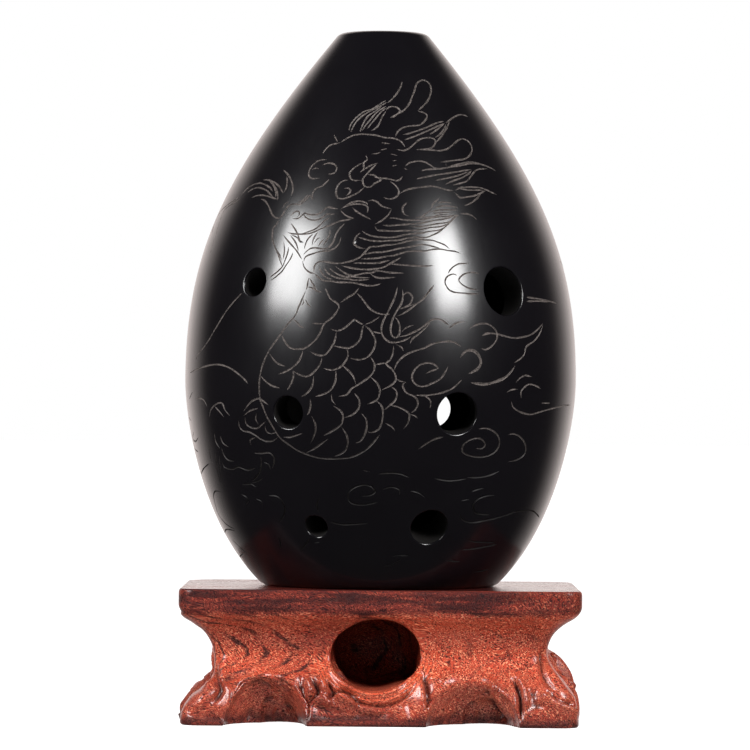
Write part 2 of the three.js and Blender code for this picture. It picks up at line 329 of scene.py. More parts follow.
HOLLOW_LIP = {
    "inner lip": (0.6, 0.7, 0.9, [(330, 662), (337, 677), (350, 688), (367, 694), (386, 693), (402, 686),
                                  (414, 673)]),
    "left lip line": (-0.4, 0.5, 0.4, [(326, 668), (333, 680), (344, 689), (356, 695)]),
    "lip crease": (-0.4, 0.5, 0.4, [(341, 684), (352, 693), (370, 699), (386, 699), (402, 690),
                                    (413, 677)]),
    "outer lip": (0.5, 0.8, 0.8, [(340, 687), (356, 697), (372, 702), (388, 701), (404, 692), (416, 679)]),
    "outer lip line": (-1.1, 1.2, 0.5, [(337, 685), (346, 694), (357, 701), (373, 706), (390, 705),
                                        (406, 696), (418, 682)]),
    "below the lip": (-0.6, 1.5, 1.5, [(350, 713), (372, 715), (392, 712)]),
    "under facet": (0.5, 1.2, 1.8, [(402, 704), (405, 712), (408, 724)]),
}
BACK_ROOTS = {
    "middle root": (1.1, 1.8, 1.8, [(346, 652), (360, 668), (366, 684), (362, 704), (357, 723)]),
    "middle crease": (-0.8, 1.0, 1.0, [(374, 656), (379, 676), (379, 698), (384, 722)]),
    "second root": (0.9, 1.4, 2.0, [(392, 650), (393, 668), (396, 688), (403, 708), (406, 723)]),
}
# The same for an end of the block, in millimetres: from front to back, and up. Here the first width is in
# front of a path that runs down, and below one that runs to the back.
SIDE_ROOTS = {
    "scoop rim": (-0.6, 0.3, 1.4, [(-10.6, 1.5), (-9.0, 5.0), (-4.5, 7.2), (1.0, 7.4), (6.5, 6.0),
                                   (10.0, 2.5)]),
    "front crease": (-0.9, 1.1, 1.1, [(-15.0, 13.5), (-13.6, 8.5), (-14.8, 4.0), (-15.6, 0.0)]),
    "front root": (0.8, 1.3, 1.3, [(-9.0, 15.0), (-12.0, 9.5), (-12.4, 4.0), (-12.8, 0.0)]),
    "back crease": (-0.8, 1.0, 1.3, [(13.0, 14.0), (14.4, 9.0), (13.4, 4.0), (14.6, 0.0)]),
    "back root": (0.9, 1.4, 1.2, [(8.5, 15.0), (11.4, 10.0), (11.6, 5.0), (11.9, 0.0)]),
    "middle root": (0.6, 1.6, 1.6, [(-1.0, 17.0), (1.6, 13.0), (0.4, 9.5)]),
}
LEFT_END_ROOTS = {
    "slim ankle": (-2.0, 4.2, 4.2, [(-26.0, 9.3), (-12.0, 9.3), (0.0, 9.3), (12.0, 9.3), (26.0, 9.3)]),
}

# How deep in a crease each place lies: passes that smooth the wood, then the depth itself, and the depth in
# millimetres that counts as a full crease
CAVITY_PASSES = 10
CAVITY_BLUR = 3
CAVITY_DEPTH = 0.22

# Edges that are rubbed round before the carving: how many passes, how much each takes, and how far from the
# path they reach, in millimetres. The slab's under edge has its distance from the top, reach and share.
RUBBED_PASSES = 150
RUBBED_PULL = 0.6
RUBBED_REACH = 3.5
UNDER_EDGE = (4.9, 1.8, 0.6)
RUBBED_EDGES = [
    [(434, 722), (438, 708), (446, 697), (456, 689), (468, 685), (480, 685), (490, 691)],
    [(268, 683), (280, 691), (292, 704), (302, 720)],
]


def row_place(points, base):
    """Points in millimetres above the given base height become metres in the shared frame."""
    placed = np.asarray(points, float) * MM
    placed[:, 2] += base * MM
    return placed


def put_in_scene(name, data):
    thing = bpy.data.objects.new(name, data)
    bpy.context.scene.collection.objects.link(thing)
    return thing


@contextmanager
def shaping(mesh):
    """Opens a mesh to work on its points and faces, and writes them back to it at the end."""
    body = bmesh.new()
    body.from_mesh(mesh)
    yield body
    body.to_mesh(mesh)
    body.free()


def weld(body, into_triangles=False):
    """Joins points that meet, drops what has no area and turns every face outwards."""
    bmesh.ops.remove_doubles(body, verts=body.verts, dist=WELD_REACH)
    bmesh.ops.dissolve_degenerate(body, edges=body.edges, dist=SAME_PLACE)
    if into_triangles:
        bmesh.ops.triangulate(body, faces=[face for face in body.faces if len(face.verts) > 3])
    bmesh.ops.recalc_face_normals(body, faces=body.faces)


def read_values(items, name, width=3, kind=np.float32):
    """The same value of every item of a mesh, with a row for each item where the value is several numbers."""
    values = np.empty(len(items) * width, kind)
    items.foreach_get(name, values)
    return values.reshape(-1, width) if width > 1 else values


# Node trees


class Sock:
    """One output of a shader node. Its operators add the Math nodes of an expression on values."""

    def __init__(self, tree, socket):
        self.tree = tree
        self.socket = socket

    def math(self, operation, *others):
        return self.tree.add("ShaderNodeMath", dict(enumerate((self, *others))), operation=operation)

    def __add__(self, other):
        return self.math("ADD", other)

    def __sub__(self, other):
        return self.math("SUBTRACT", other)

    def __mul__(self, other):
        return self.math("MULTIPLY", other)

    def __truediv__(self, other):
        return self.math("DIVIDE", other)

    def __pow__(self, other):
        return self.math("POWER", other)

    def __rsub__(self, other):
        return self.tree.add("ShaderNodeMath", {0: other, 1: self}, operation="SUBTRACT")

    __radd__ = __add__
    __rmul__ = __mul__

    def between(self, low, high):
        """0 where the value is at low or less, 1 at high or more, and a smooth rise from one to the other."""
        values = {"Value": self, "From Min": low, "From Max": high}
        return self.tree.add("ShaderNodeMapRange", values, interpolation_type="SMOOTHSTEP")


class Tree:
    """A node tree, and the one method that adds any node but the operators' own."""

    def __init__(self, tree):
        self.nodes = tree.nodes
        self.links = tree.links

    def add(self, kind, values=None, output=0, **settings):
        """One output of a new node of a kind, with its settings and the values or links of its sockets."""
        node = self.nodes.new(kind)
        for name, value in settings.items():
            setattr(node, name, value)
        for socket, value in (values or {}).items():
            self.feed(node.inputs[socket], value)
        return Sock(self, node.outputs[output]) if node.outputs else None

    def feed(self, socket, value):
        if isinstance(value, Sock):
            self.links.new(value.socket, socket)
        else:
            socket.default_value = value

    def noise(self, vector, scale, detail, output=0):
        values = {"Vector": vector, "Scale": scale, "Detail": detail}
        return self.add("ShaderNodeTexNoise", values, output)

    def mix(self, share, first, second):
        """The first colour turns into the second as the share rises from 0 to 1."""
        values = {"Factor": share, 6: opaque(first), 7: opaque(second)}
        return self.add("ShaderNodeMix", values, output=2, data_type="RGBA")

    def axes(self, vector):
        """The three parts of a vector: X, Y and Z."""
        return [self.add("ShaderNodeSeparateXYZ", {0: vector}, output=i) for i in range(3)]


class Finish(Tree):
    """A material with one Principled shader."""

    def __init__(self, name, **settings):
        self.material = bpy.data.materials.new(name)
        self.material.use_nodes = True
        super().__init__(self.material.node_tree)
        self.shader = next(node for node in self.nodes if node.type == "BSDF_PRINCIPLED")
        for socket, value in settings.items():
            self.shader.inputs[socket.replace("_", " ")].default_value = value

    def drive(self, **sockets):
        for name, value in sockets.items():
            self.feed(self.shader.inputs[name.replace("_", " ")], value)

    def place(self, stretch=(1, 1, 1), turn=(0, 0, 0), swirl=None):
        """Object coordinates. A texture laid on them is stretched along its axes, then turned."""
        coordinates = swirl or self.add("ShaderNodeTexCoord", output="Object")
        values = {"Vector": coordinates, "Rotation": turn, "Scale": stretch}
        return self.add("ShaderNodeMapping", values, vector_type="TEXTURE")

    def places(self):
        """How far right, how far in and how high a place is, in millimetres."""
        return [part / MM for part in self.axes(self.place())]

    def swirled(self, scale, reach):
        """Object coordinates that wander by up to a reach, so that a grain laid on them flows."""
        wander = self.noise(self.place(), scale, 2, output=1)
        values = {0: wander, 1: (reach, reach, reach), 2: self.place()}
        return self.add("ShaderNodeVectorMath", values, operation="MULTIPLY_ADD")

    def bump(self, height, strength, distance):
        values = {"Height": height, "Strength": strength, "Distance": distance}
        return self.add("ShaderNodeBump", values)


def opaque(colour):
    return (*colour, 1) if isinstance(colour, tuple) else colour


def polished_pottery():
    """Smoke-blackened clay, burnished to a soft gloss, with faint burnishing streaks."""
    finish = Finish("black_pottery_polished", IOR=1.5, Specular_IOR_Level=0.5)
    streaks = finish.noise(finish.place(stretch=(1, 1, 4)), 900, detail=3)
    cloud = finish.noise(finish.place(), 60, detail=4)
    colour = finish.mix(cloud, *POLISHED_CLAY)
    finish.drive(Base_Color=colour, Roughness=0.17 + cloud * 0.05 + streaks * 0.035)
    finish.drive(Normal=finish.bump(streaks, 0.05, 0.00002))
    return finish.material


def cut_pottery():
    """The paler clay that an engraved line bares. Towards the foot the lines take a darker colour, which is
    painted shade.
    """
    finish = Finish("black_pottery_engraved", Roughness=0.5, Specular_IOR_Level=0.14)
    dust = finish.noise(finish.place(), 3600, detail=2).between(0.36, 0.64)
    height = finish.places()[2]
    line_shade, bared = finish.mix(dust, *SHADED_LINE_CLAY), finish.mix(dust, *BARED_CLAY)
    # Painted shade: the lines darken towards the foot
    finish.drive(Base_Color=finish.mix(height.between(*LINES_SHADED), line_shade, bared))
    return finish.material


def raw_pottery():
    """The unpolished clay inside the chamber and the holes."""
    finish = Finish("black_pottery_raw", Roughness=0.85, Specular_IOR_Level=0.15)
    grain = finish.noise(finish.place(), 1200, detail=4)
    finish.drive(Base_Color=finish.mix(grain, *RAW_CLAY))
    finish.drive(Normal=finish.bump(grain, 0.3, 0.00008))
    return finish.material


def hollow_lip(across, inward, height):
    """The band of wood under the hollow's mouth, and how far out from the mouth's middle each place is."""
    out_right = (across - HOLLOW_CENTRE[0]) / (HOLLOW_SIZE[0] / 2)
    out_up = (height - HOLLOW_CENTRE[1]) / (HOLLOW_SIZE[1] / 2)
    ring = (out_right * out_right + out_up * out_up) ** 0.5
    lip = ring.between(0.98, 1.06) * (1 - ring.between(1.3, 1.5)) * (1 - out_up.between(-0.6, 0.3))
    return lip * (1 - inward.between(*LIP_INWARD)), ring


def rosewood():
    """Oiled rosewood with dark pores, pale flecks and growth lines. Painted shade darkens its creases and the
    low part of its feet; the slab and the sole are darker, partly dark wood and partly painted shade, and the
    slab's right end is paler, a painted light patch.
    """
    finish = Finish("rosewood_carved", Specular_IOR_Level=0.15, Coat_Roughness=0.28)
    across, inward, height = finish.places()
    crease = finish.add("ShaderNodeAttribute", output="Fac", attribute_name="cavity")
    flow = finish.swirled(90, 0.008)
    right = across.between(*RIGHT_SIDE)
    left_pores = finish.noise(finish.place((4, 1, 1), (0, 0.55, 0), flow), 6500, detail=1)
    right_pores = finish.noise(finish.place((1.8, 1, 1), (0, 1.0, 0), flow), 5600, detail=1)
    pores = (left_pores + (right_pores - left_pores) * right).between(0.52, 0.61)
    flecks = finish.noise(finish.place((2.6, 1, 1), (0, 0.3, 0), flow), 5600, detail=1).between(0.54, 0.66)
    band = finish.noise(finish.place((5, 1.5, 1), (0, 0.5, 0), flow), 420, detail=3)
    patch = finish.noise(finish.place((1.7, 1, 1)), 60, detail=3)
    low = 1 - height.between(*FEET_SHADED)
    # Painted shade: fewer pale flecks show low on the feet
    flecks = flecks * (0.7 + patch.between(0.42, 0.58) * 0.3) * (1 - low * 0.2)
    drift = finish.noise(finish.place((2, 1, 1)), 110, detail=4)
    rings = ((inward - across * 0.35) * 3.2 + drift * 17 + band * 3).math("SINE")
    growth = rings.between(0.5, 0.98) * (1 - right * 0.5) * patch.between(0.34, 0.5)
    growth = growth * (0.25 + band.between(0.42, 0.58) * 0.75) * (0.35 + height.between(*GROWTH_FAINT) * 0.65)
    lip, ring = hollow_lip(across, inward, height)
    lip_lines = lip * (ring * 70 + drift * 8).math("SINE").between(0.3, 0.95)
    streak = finish.noise(finish.place((9, 1, 1)), 700, detail=2).between(0.4, 0.6)
    board = finish.noise(finish.place((14, 2.6, 1), (0, 0, 0.05)), 420, detail=3)
    slab = (height + (band - 0.5) * 2.2).between(*SLAB_DARK)
    top = height.between(*TOP_PLANED)
    sole = 1 - (height + (patch - 0.5) * 3).between(*SOLE_SHADED)
    colour = finish.mix(patch.between(0.3, 0.7), *WOOD)
    colour = finish.mix(lip * 0.7, colour, LIP_WOOD)
    # Painted shade: the low part of the feet darkens, more on the right
    colour = finish.mix(low * (0.12 + right * 0.16), colour, FOOT_SHADE_WOOD)
    colour = finish.mix(growth * (1 - lip) * 0.92, colour, GROWTH_LINE)
    colour = finish.mix(lip_lines * 0.6, colour, LIP_LINE)
    colour = finish.mix(flecks * (0.7 - growth * 0.55), colour, FLECK)
    colour = finish.mix(pores * 0.85, colour, PORE)
    dark = finish.mix(streak, *SLAB_WOOD)
    dark = finish.mix(flecks * streak * 0.55, dark, SLAB_FLECK)
    dark = finish.mix(pores * 0.85, dark, SLAB_PORE)
    # The slab is darker, partly dark wood and partly painted shade on its upright face; towards its right end
    # it is paler, a painted light patch
    colour = finish.mix(slab * (0.95 - across.between(*SLAB_RIGHT_END_LIT) * 0.25), colour, dark)
    # The sole takes the slab's dark colour: partly a dark band of the wood, partly painted contact shade
    # along the floor
    colour = finish.mix(sole * 0.85, colour, dark)
    # Painted shade: the wood darkens where it lies deep in a crease
    colour = finish.mix(crease.between(0.25, 1) * 0.6, colour, CREASE_SHADE)
    planed = finish.mix(board.between(0.36, 0.62), *PLANED_WOOD)
    colour = finish.mix(top * (0.85 - pores * 0.45 - flecks * 0.3), colour, planed)
    finish.drive(Base_Color=colour, Roughness=0.4 + pores * 0.3 - top * 0.28)
    oiled = 0.9 - height.between(*FEET_OILED) * 0.3 - (slab - top) * 0.35
    oiled = oiled - top * (0.12 + board.between(0.4, 0.6) * 0.36)
    finish.drive(Coat_Weight=(1 - pores * 0.8) * oiled)
    finish.drive(Normal=finish.bump(flecks * 0.3 - pores - growth * 0.5 - lip_lines * 0.8, 0.55, 0.00012))
    return finish.material


# The vessel's outline


def bezier(points, samples):
    a, b, c, d = (np.array(point, float) for point in points)
    t = np.linspace(0, 1, samples)[:, None]
    return (1 - t) ** 3 * a + 3 * (1 - t) ** 2 * t * b + 3 * (1 - t) * t * t * c + t ** 3 * d


def rounding(start, corner, end, samples):
    a, b, c = (np.array(point, float) for point in (start, corner, end))
    t = np.linspace(0, 1, samples)[:, None]
    return (1 - t) ** 2 * a + 2 * (1 - t) * t * b + t * t * c


class Outline:
    """The side of an egg from foot to crown, measured along its length. Points hold radius and height."""

    def __init__(self, foot, belt, crown):
        lower_rise = belt[1] - foot[1]
        upper_rise = crown[1] - belt[1]
        foot_flare = FOOT_SHARES[0] * (belt[0] - foot[0])
        crown_flare = CROWN_SHARES[0] * (belt[0] - crown[0])
        foot_out = (foot[0] + foot_flare, foot[1] + FOOT_SHARES[1] * lower_rise)
        belt_under = (belt[0], belt[1] - BELT_SHARES[0] * lower_rise)
        belt_over = (belt[0], belt[1] + BELT_SHARES[1] * upper_rise)
        crown_out = (crown[0] + crown_flare, crown[1] - CROWN_SHARES[1] * upper_rise)
        lower = bezier((foot, foot_out, belt_under, belt), OUTLINE_SAMPLES)
        upper = bezier((belt, belt_over, crown_out, crown), OUTLINE_SAMPLES)
        points = np.vstack([lower, upper[1:]])
        steps = np.diff(points, axis=0)
        self.radii, self.heights = points.T
        self.lengths = np.concatenate([[0], np.cumsum(np.hypot(*steps.T))])
        slopes = np.gradient(self.radii, self.lengths), np.gradient(self.heights, self.lengths)
        self.normals = np.stack([slopes[1], -slopes[0]], axis=1)
        self.length = self.lengths[-1]

    def radius(self, height):
        return np.interp(height, self.heights, self.radii)

    def at_height(self, height):
        return np.interp(height, self.heights, self.lengths)

    def points(self, around, along):
        """Points on the skin, from the azimuth in radians and the length along the outline."""
        radius = np.interp(along, self.lengths, self.radii)
        height = np.interp(along, self.lengths, self.heights)
        return np.stack([radius * np.sin(around), -radius * np.cos(around), height], axis=-1)

    def outward(self, around, along):
        out = np.interp(along, self.lengths, self.normals[:, 0])
        up = np.interp(along, self.lengths, self.normals[:, 1])
        normal = np.stack([out * np.sin(around), -out * np.cos(around), up], axis=-1)
        return normal / np.linalg.norm(normal, axis=-1, keepdims=True)

    def locate(self, points):
        """Azimuth and length along the outline of points on the skin."""
        points = np.asarray(points, float)
        return np.arctan2(points[..., 0], -points[..., 1]), self.at_height(points[..., 2])

    def meet(self, starts, direction):
        """Where lines from the starts, along a direction that leaves the egg, pass out through its skin."""
        inner = np.full(len(starts), -SEARCH_REACH)
        outer = np.full(len(starts), SEARCH_REACH)
        for _ in range(SEARCH_STEPS):
            reach = (inner + outer) / 2
            places = starts + reach[:, None] * direction
            inside = np.hypot(places[:, 0], places[:, 1]) < self.radius(places[:, 2])
            inner = np.where(inside, reach, inner)
            outer = np.where(inside, outer, reach)
        return starts + reach[:, None] * direction


SLANT = math.sqrt(0.5)
SKIN = Outline(
    (FOOT_RADIUS + SLANT * FOOT_EDGE, SLANT * FOOT_EDGE),
    (BELT_RADIUS, BELT_HEIGHT),
    (CROWN_RADIUS + SLANT * CROWN_EDGE, VESSEL_HEIGHT - SLANT * CROWN_EDGE),
)
CEILING = VESSEL_HEIGHT - CROWN_THICKNESS
FLOOR_RADIUS = FOOT_RADIUS - WALL
CHAMBER = Outline(
    (FLOOR_RADIUS + SLANT * CHAMBER_EDGE, FOOT_THICKNESS + SLANT * CHAMBER_EDGE),
    (BELT_RADIUS - WALL, BELT_HEIGHT),
    (BLOW_RADIUS + CEILING_LEDGE, CEILING),
)


class Hole:
    """A bore drilled square to the clay in height, and turned by its skew seen from above."""

    def __init__(self, diameter, height, azimuth, skew):
        self.radius = diameter / 2
        around = math.radians(azimuth)
        along = SKIN.at_height(height)
        self.place = SKIN.points(np.array(around), along)
        out = SKIN.outward(np.array(around), along)
        turn = math.radians(azimuth + skew)
        level = math.hypot(out[0], out[1])
        self.axis = np.array([level * math.sin(turn), -level * math.cos(turn), out[2]])
        self.across = np.array([math.cos(turn), math.sin(turn), 0])
        self.up = np.cross(self.across, self.axis)

    def ring(self, outline, radius):
        """A ring of points where the bore, at that radius, passes through a skin."""
        angles = np.linspace(0, 2 * math.pi, RIM_POINTS, endpoint=False)[:, None]
        starts = self.place + radius * (np.cos(angles) * self.across + np.sin(angles) * self.up)
        return outline.meet(starts, self.axis)

    def distance(self, points):
        """How far points lie from the bore's axis, and without end for those on its far side."""
        offset = points - self.place
        along = offset @ self.axis
        apart = np.linalg.norm(offset - along[..., None] * self.axis, axis=-1)
        return np.where(along > -BELT_RADIUS, apart, np.inf)


BORES = {name: Hole(*sizes) for name, sizes in HOLES.items()}


# Engraved lines


class Line:
    """One engraved line: places on the flattened skin with the half width of the cut at each."""

    def __init__(self, places, width):
        self.places = np.asarray(places, float)
        count = len(self.places)
        steps = np.arange(count)
        taper = np.minimum(1, np.minimum(steps, count - 1 - steps) * LINE_STEP / LINE_TAPER + LINE_END)
        waver = 1 + LINE_WAVER * np.sin(steps * WAVER_PACE + self.places[0, 0])
        self.halves = width / 2 * taper * waver


def smooth_through(points, step):
    """A smooth curve through the points (Catmull-Rom), with places about a step apart."""
    points = np.asarray(points, float)
    ends = np.vstack([2 * points[0] - points[1], points, 2 * points[-1] - points[-2]])
    pieces = []
    for a, b, c, d in zip(ends, ends[1:], ends[2:], ends[3:]):
        count = max(2, int(math.ceil(np.linalg.norm(c - b) / step)))
        t = np.linspace(0, 1, count, endpoint=False)[:, None]
        bend, turn = 2 * a - 5 * b + 4 * c - d, 3 * b - a - 3 * c + d
        pieces.append(0.5 * (2 * b + (c - a) * t + bend * t * t + turn * t ** 3))
    return np.vstack([*pieces, points[-1:]])


def flatten(around, along):
    """The flattened skin has millimetres both ways, at the belt's radius."""
    return np.stack([np.asarray(around) * BELT_RADIUS, np.asarray(along)], axis=-1)


def photo_to_skin(pixels):
    """Places on the flattened skin that the photograph shows at these pixels."""
    x, y = np.asarray(pixels, float).T
    straight_x = x + (y - CENTRE_PX) * ROLL
    straight_y = y - (x - AXIS_X_PX) * ROLL
    sideways = (straight_x - AXIS_X_PX) / FOCAL_PX
    upwards = (HORIZON_Y_PX - straight_y) / FOCAL_PX
    reach = np.full(len(x), VIEW_DISTANCE - BELT_RADIUS)
    for _ in range(VIEW_STEPS):
        radius = SKIN.radius(VIEW_HEIGHT + upwards * reach)
        across = np.clip(sideways * reach, -WIDEST_SHARE * radius, WIDEST_SHARE * radius)
        reach = VIEW_DISTANCE - np.sqrt(radius ** 2 - across ** 2)
    around = np.arctan2(across, VIEW_DISTANCE - reach)
    return flatten(around, SKIN.at_height(VIEW_HEIGHT + upwards * reach))


def photo_line(pixels, width=LINE_WIDTH):
    return Line(smooth_through(photo_to_skin(pixels), LINE_STEP), width)


def clear_runs(line):
    """The stretches of a line that keep clear of the bores and of the skin's ends."""
    around, along = line.places[:, 0] / BELT_RADIUS, line.places[:, 1]
    points = SKIN.points(around, along)
    keep = (along > LINE_CLEARANCE) & (along < SKIN.length - LINE_CLEARANCE)
    keep &= np.abs(line.places[:, 0]) < math.pi * BELT_RADIUS - LINE_CLEARANCE
    for hole in BORES.values():
        keep &= hole.distance(points) > hole.radius + RIM_ROUND + LINE_CLEARANCE
    runs = []
    start = None
    for i, kept in enumerate([*keep, False]):
        if kept and start is None:
            start = i
        elif not kept and start is not None:
            if i - start >= SHORTEST_RUN:
                runs.append((line.places[start:i], line.halves[start:i].copy()))
            start = None
    return runs


# The dragon among clouds, drawn over the photograph: each line is a run of its pixels.
MANE_LINES = [
    [(402, 81), (401, 86), (397, 93), (392, 99), (387, 103)],
    [(386, 100), (380, 104), (372, 109), (365, 111), (359, 115), (353, 121), (350, 126), (349, 131)],
    [(387, 102), (380, 106), (370, 111), (362, 116), (356, 122), (352, 129), (351, 132)],
    [(382, 106), (375, 111), (368, 116), (364, 122), (361, 129), (360, 132)],
    [(386, 106), (377, 112), (370, 120), (365, 126), (362, 131)],
    [(387, 107), (381, 112), (375, 119), (370, 125), (367, 129)],
    [(386, 111), (382, 117), (380, 122), (377, 127), (371, 131)],
    [(386, 110), (389, 107), (394, 106.5), (398, 108), (400, 111), (397, 114), (394, 116.5), (390, 117.5)],
    [(390, 117.5), (397, 114), (404, 110), (409, 104), (412, 97), (415, 89), (417, 83), (423, 80),
     (429, 83), (431, 89), (430.5, 94), (428, 100), (423, 106), (418, 110.5)],
    [(418, 111), (425, 113), (427, 116), (425, 120.5), (420.5, 124.5), (415, 125.5), (409, 126), (402, 128),
     (397, 132.5), (395.5, 137)],
    [(468, 116.5), (464, 115), (459, 114.7), (454, 117), (449, 120.5), (445.5, 123)],
    [(444, 121), (436, 123), (427.5, 127), (419, 130), (410, 133), (402.5, 134.7)],
    [(445, 123), (437.5, 126), (429, 130), (420, 134), (411, 137.5), (404, 140)],
    [(445, 122.5), (440, 127), (435, 131), (429.5, 134.5)],
    [(446, 124), (444, 129), (440, 134), (435, 137.5)],
    [(449.5, 120.5), (447.5, 126), (444, 132.5), (440, 138), (435.5, 142.5)],
    [(396, 149), (404, 150.5), (410, 147.5), (415, 143), (421, 138.7), (429, 137.5), (434, 138.7),
     (435.5, 142), (434, 145.5), (431, 148), (426, 149), (417.5, 149.5)],
    [(416, 149.5), (425, 149.5), (432.5, 150), (440, 150.5), (447.5, 148.7), (452.5, 145), (457.5, 140.5),
     (462.5, 138.7), (467.5, 140.5), (471, 145), (472, 150), (470, 155), (465, 158.7), (457.5, 160),
     (449, 161), (440.5, 162)],
    [(446, 163), (446, 166)],
    [(405, 166), (409, 163), (414, 161.5), (420, 161), (426, 162.5), (431, 165.5), (435, 168), (440, 168.7),
     (450, 167), (460, 165.5), (469, 163.7), (477.5, 163.7), (485, 165.5), (491, 168), (496, 171)],
    [(445, 168), (455, 165), (465, 162.5), (472.5, 162), (479, 163.5), (485, 166)],
    [(421, 171), (425, 169.7), (432.5, 169), (444, 168.7)],
    [(416, 179), (425, 177), (435, 175), (445, 173.5), (455, 172), (464, 170.5), (471, 169.5)],
    [(435, 180.5), (444, 178.7), (452.5, 177), (461, 174.5), (469, 171.5)],
    [(445, 184.5), (452.5, 181), (461, 178), (467.5, 174.5), (472, 170)],
    [(453, 185), (461, 183), (467.5, 180.5), (471, 176), (475, 171), (480, 169), (487.5, 168.7)],
    [(497, 194.7), (491, 192), (486, 189.5), (479, 187.5), (470, 187), (461, 187.5), (455, 190.5)],
    [(454, 192), (457.5, 195), (460, 197.5), (466, 197), (475, 195.5), (480, 193), (486, 190.5)],
    [(486, 190.5), (481, 193), (479, 196), (475, 200), (469, 204), (464, 205.5)],
    [(457.5, 188), (470, 190), (484, 190)],
    [(399.5, 193.7), (406, 190), (414, 188), (422.5, 187), (431, 186), (439, 187.5), (447.5, 190),
     (454, 190.5)],
    [(460, 213.7), (466, 213.7), (471, 215), (477, 219.5)],
]

HEAD_LINES = [
    [(340.5, 142.5), (346, 138.7), (352.5, 135.5), (360, 134), (370, 134.5), (377.5, 135.5), (385, 137.5),
     (392.5, 138), (399, 140), (402.5, 143), (405, 147)],
    [(322.5, 153.7), (325, 150), (329.5, 145.5), (335, 143.7), (340.5, 142.5)],
    [(334, 134.5), (335.5, 138), (338, 142)],
    [(327, 159.5), (320, 160), (315, 163), (311, 167), (309, 172), (309, 176), (312, 178.5), (320, 178)],
    [(312, 169.5), (316, 168), (319, 168.7)],
    [(381, 142.5), (390, 143.7)],
    [(380, 150), (387.5, 148.5)],
    [(371, 153.7), (376, 153.5), (381, 152)],
    [(390.5, 153.7), (397.5, 155.5)],
    [(392, 161), (397, 160)],
    [(392, 166), (397, 165)],
    [(404, 168), (408, 170)],
    [(365.5, 155), (367.5, 159.5), (363.7, 162.5), (363.7, 168.7), (359.5, 172.5)],
    [(362.5, 162.5), (357.5, 165.5), (352, 169.5), (349.5, 173.7), (351, 178.7), (355, 180.5), (361, 180)],
    [(378, 163), (372.5, 164.5), (366, 168), (359.5, 172.5)],
    [(377.5, 163), (372.5, 168), (367.5, 173), (363.7, 177.5), (362.5, 181), (364.5, 186), (370, 187),
     (375, 183), (381, 180), (377.5, 177.5), (373.7, 175), (367.5, 174.5)],
    [(373.7, 177), (381, 178), (387.5, 178.5), (396, 180.5), (400, 179.5), (402.5, 176)],
    [(364.5, 187), (358.7, 192), (351, 196), (343.7, 198.5), (338, 198), (336, 193), (337.5, 186),
     (342.5, 181), (348.7, 180)],
    [(343.7, 188.5), (348, 188), (350.5, 190.5), (348.7, 193.7), (346, 195.5)],
    [(340, 209.5), (346, 205.5), (352.5, 202), (360, 201), (366, 202.7), (368, 205)],
    [(341, 208.7), (349, 205), (357.5, 203.7), (365, 205), (368, 208), (367, 213)],
    [(352, 207), (356, 211), (362.5, 215), (367.5, 217.5), (371, 219.5)],
    [(368, 201), (372.5, 200), (377.5, 202), (381, 205.5), (386, 207.5), (391.5, 208.5)],
    [(391.5, 208.5), (389, 214), (382.5, 220), (375, 224)],
    [(340, 209.5), (344, 214), (349, 217), (354, 218)],
    [(407.5, 202), (402.5, 207.5), (404, 214), (409, 216)],
    [(322, 165), (328, 163), (334, 164), (337, 168), (334, 173), (328, 174)],
    [(390, 181), (396, 186), (399, 192), (396, 197), (389, 199), (383, 197)],
]

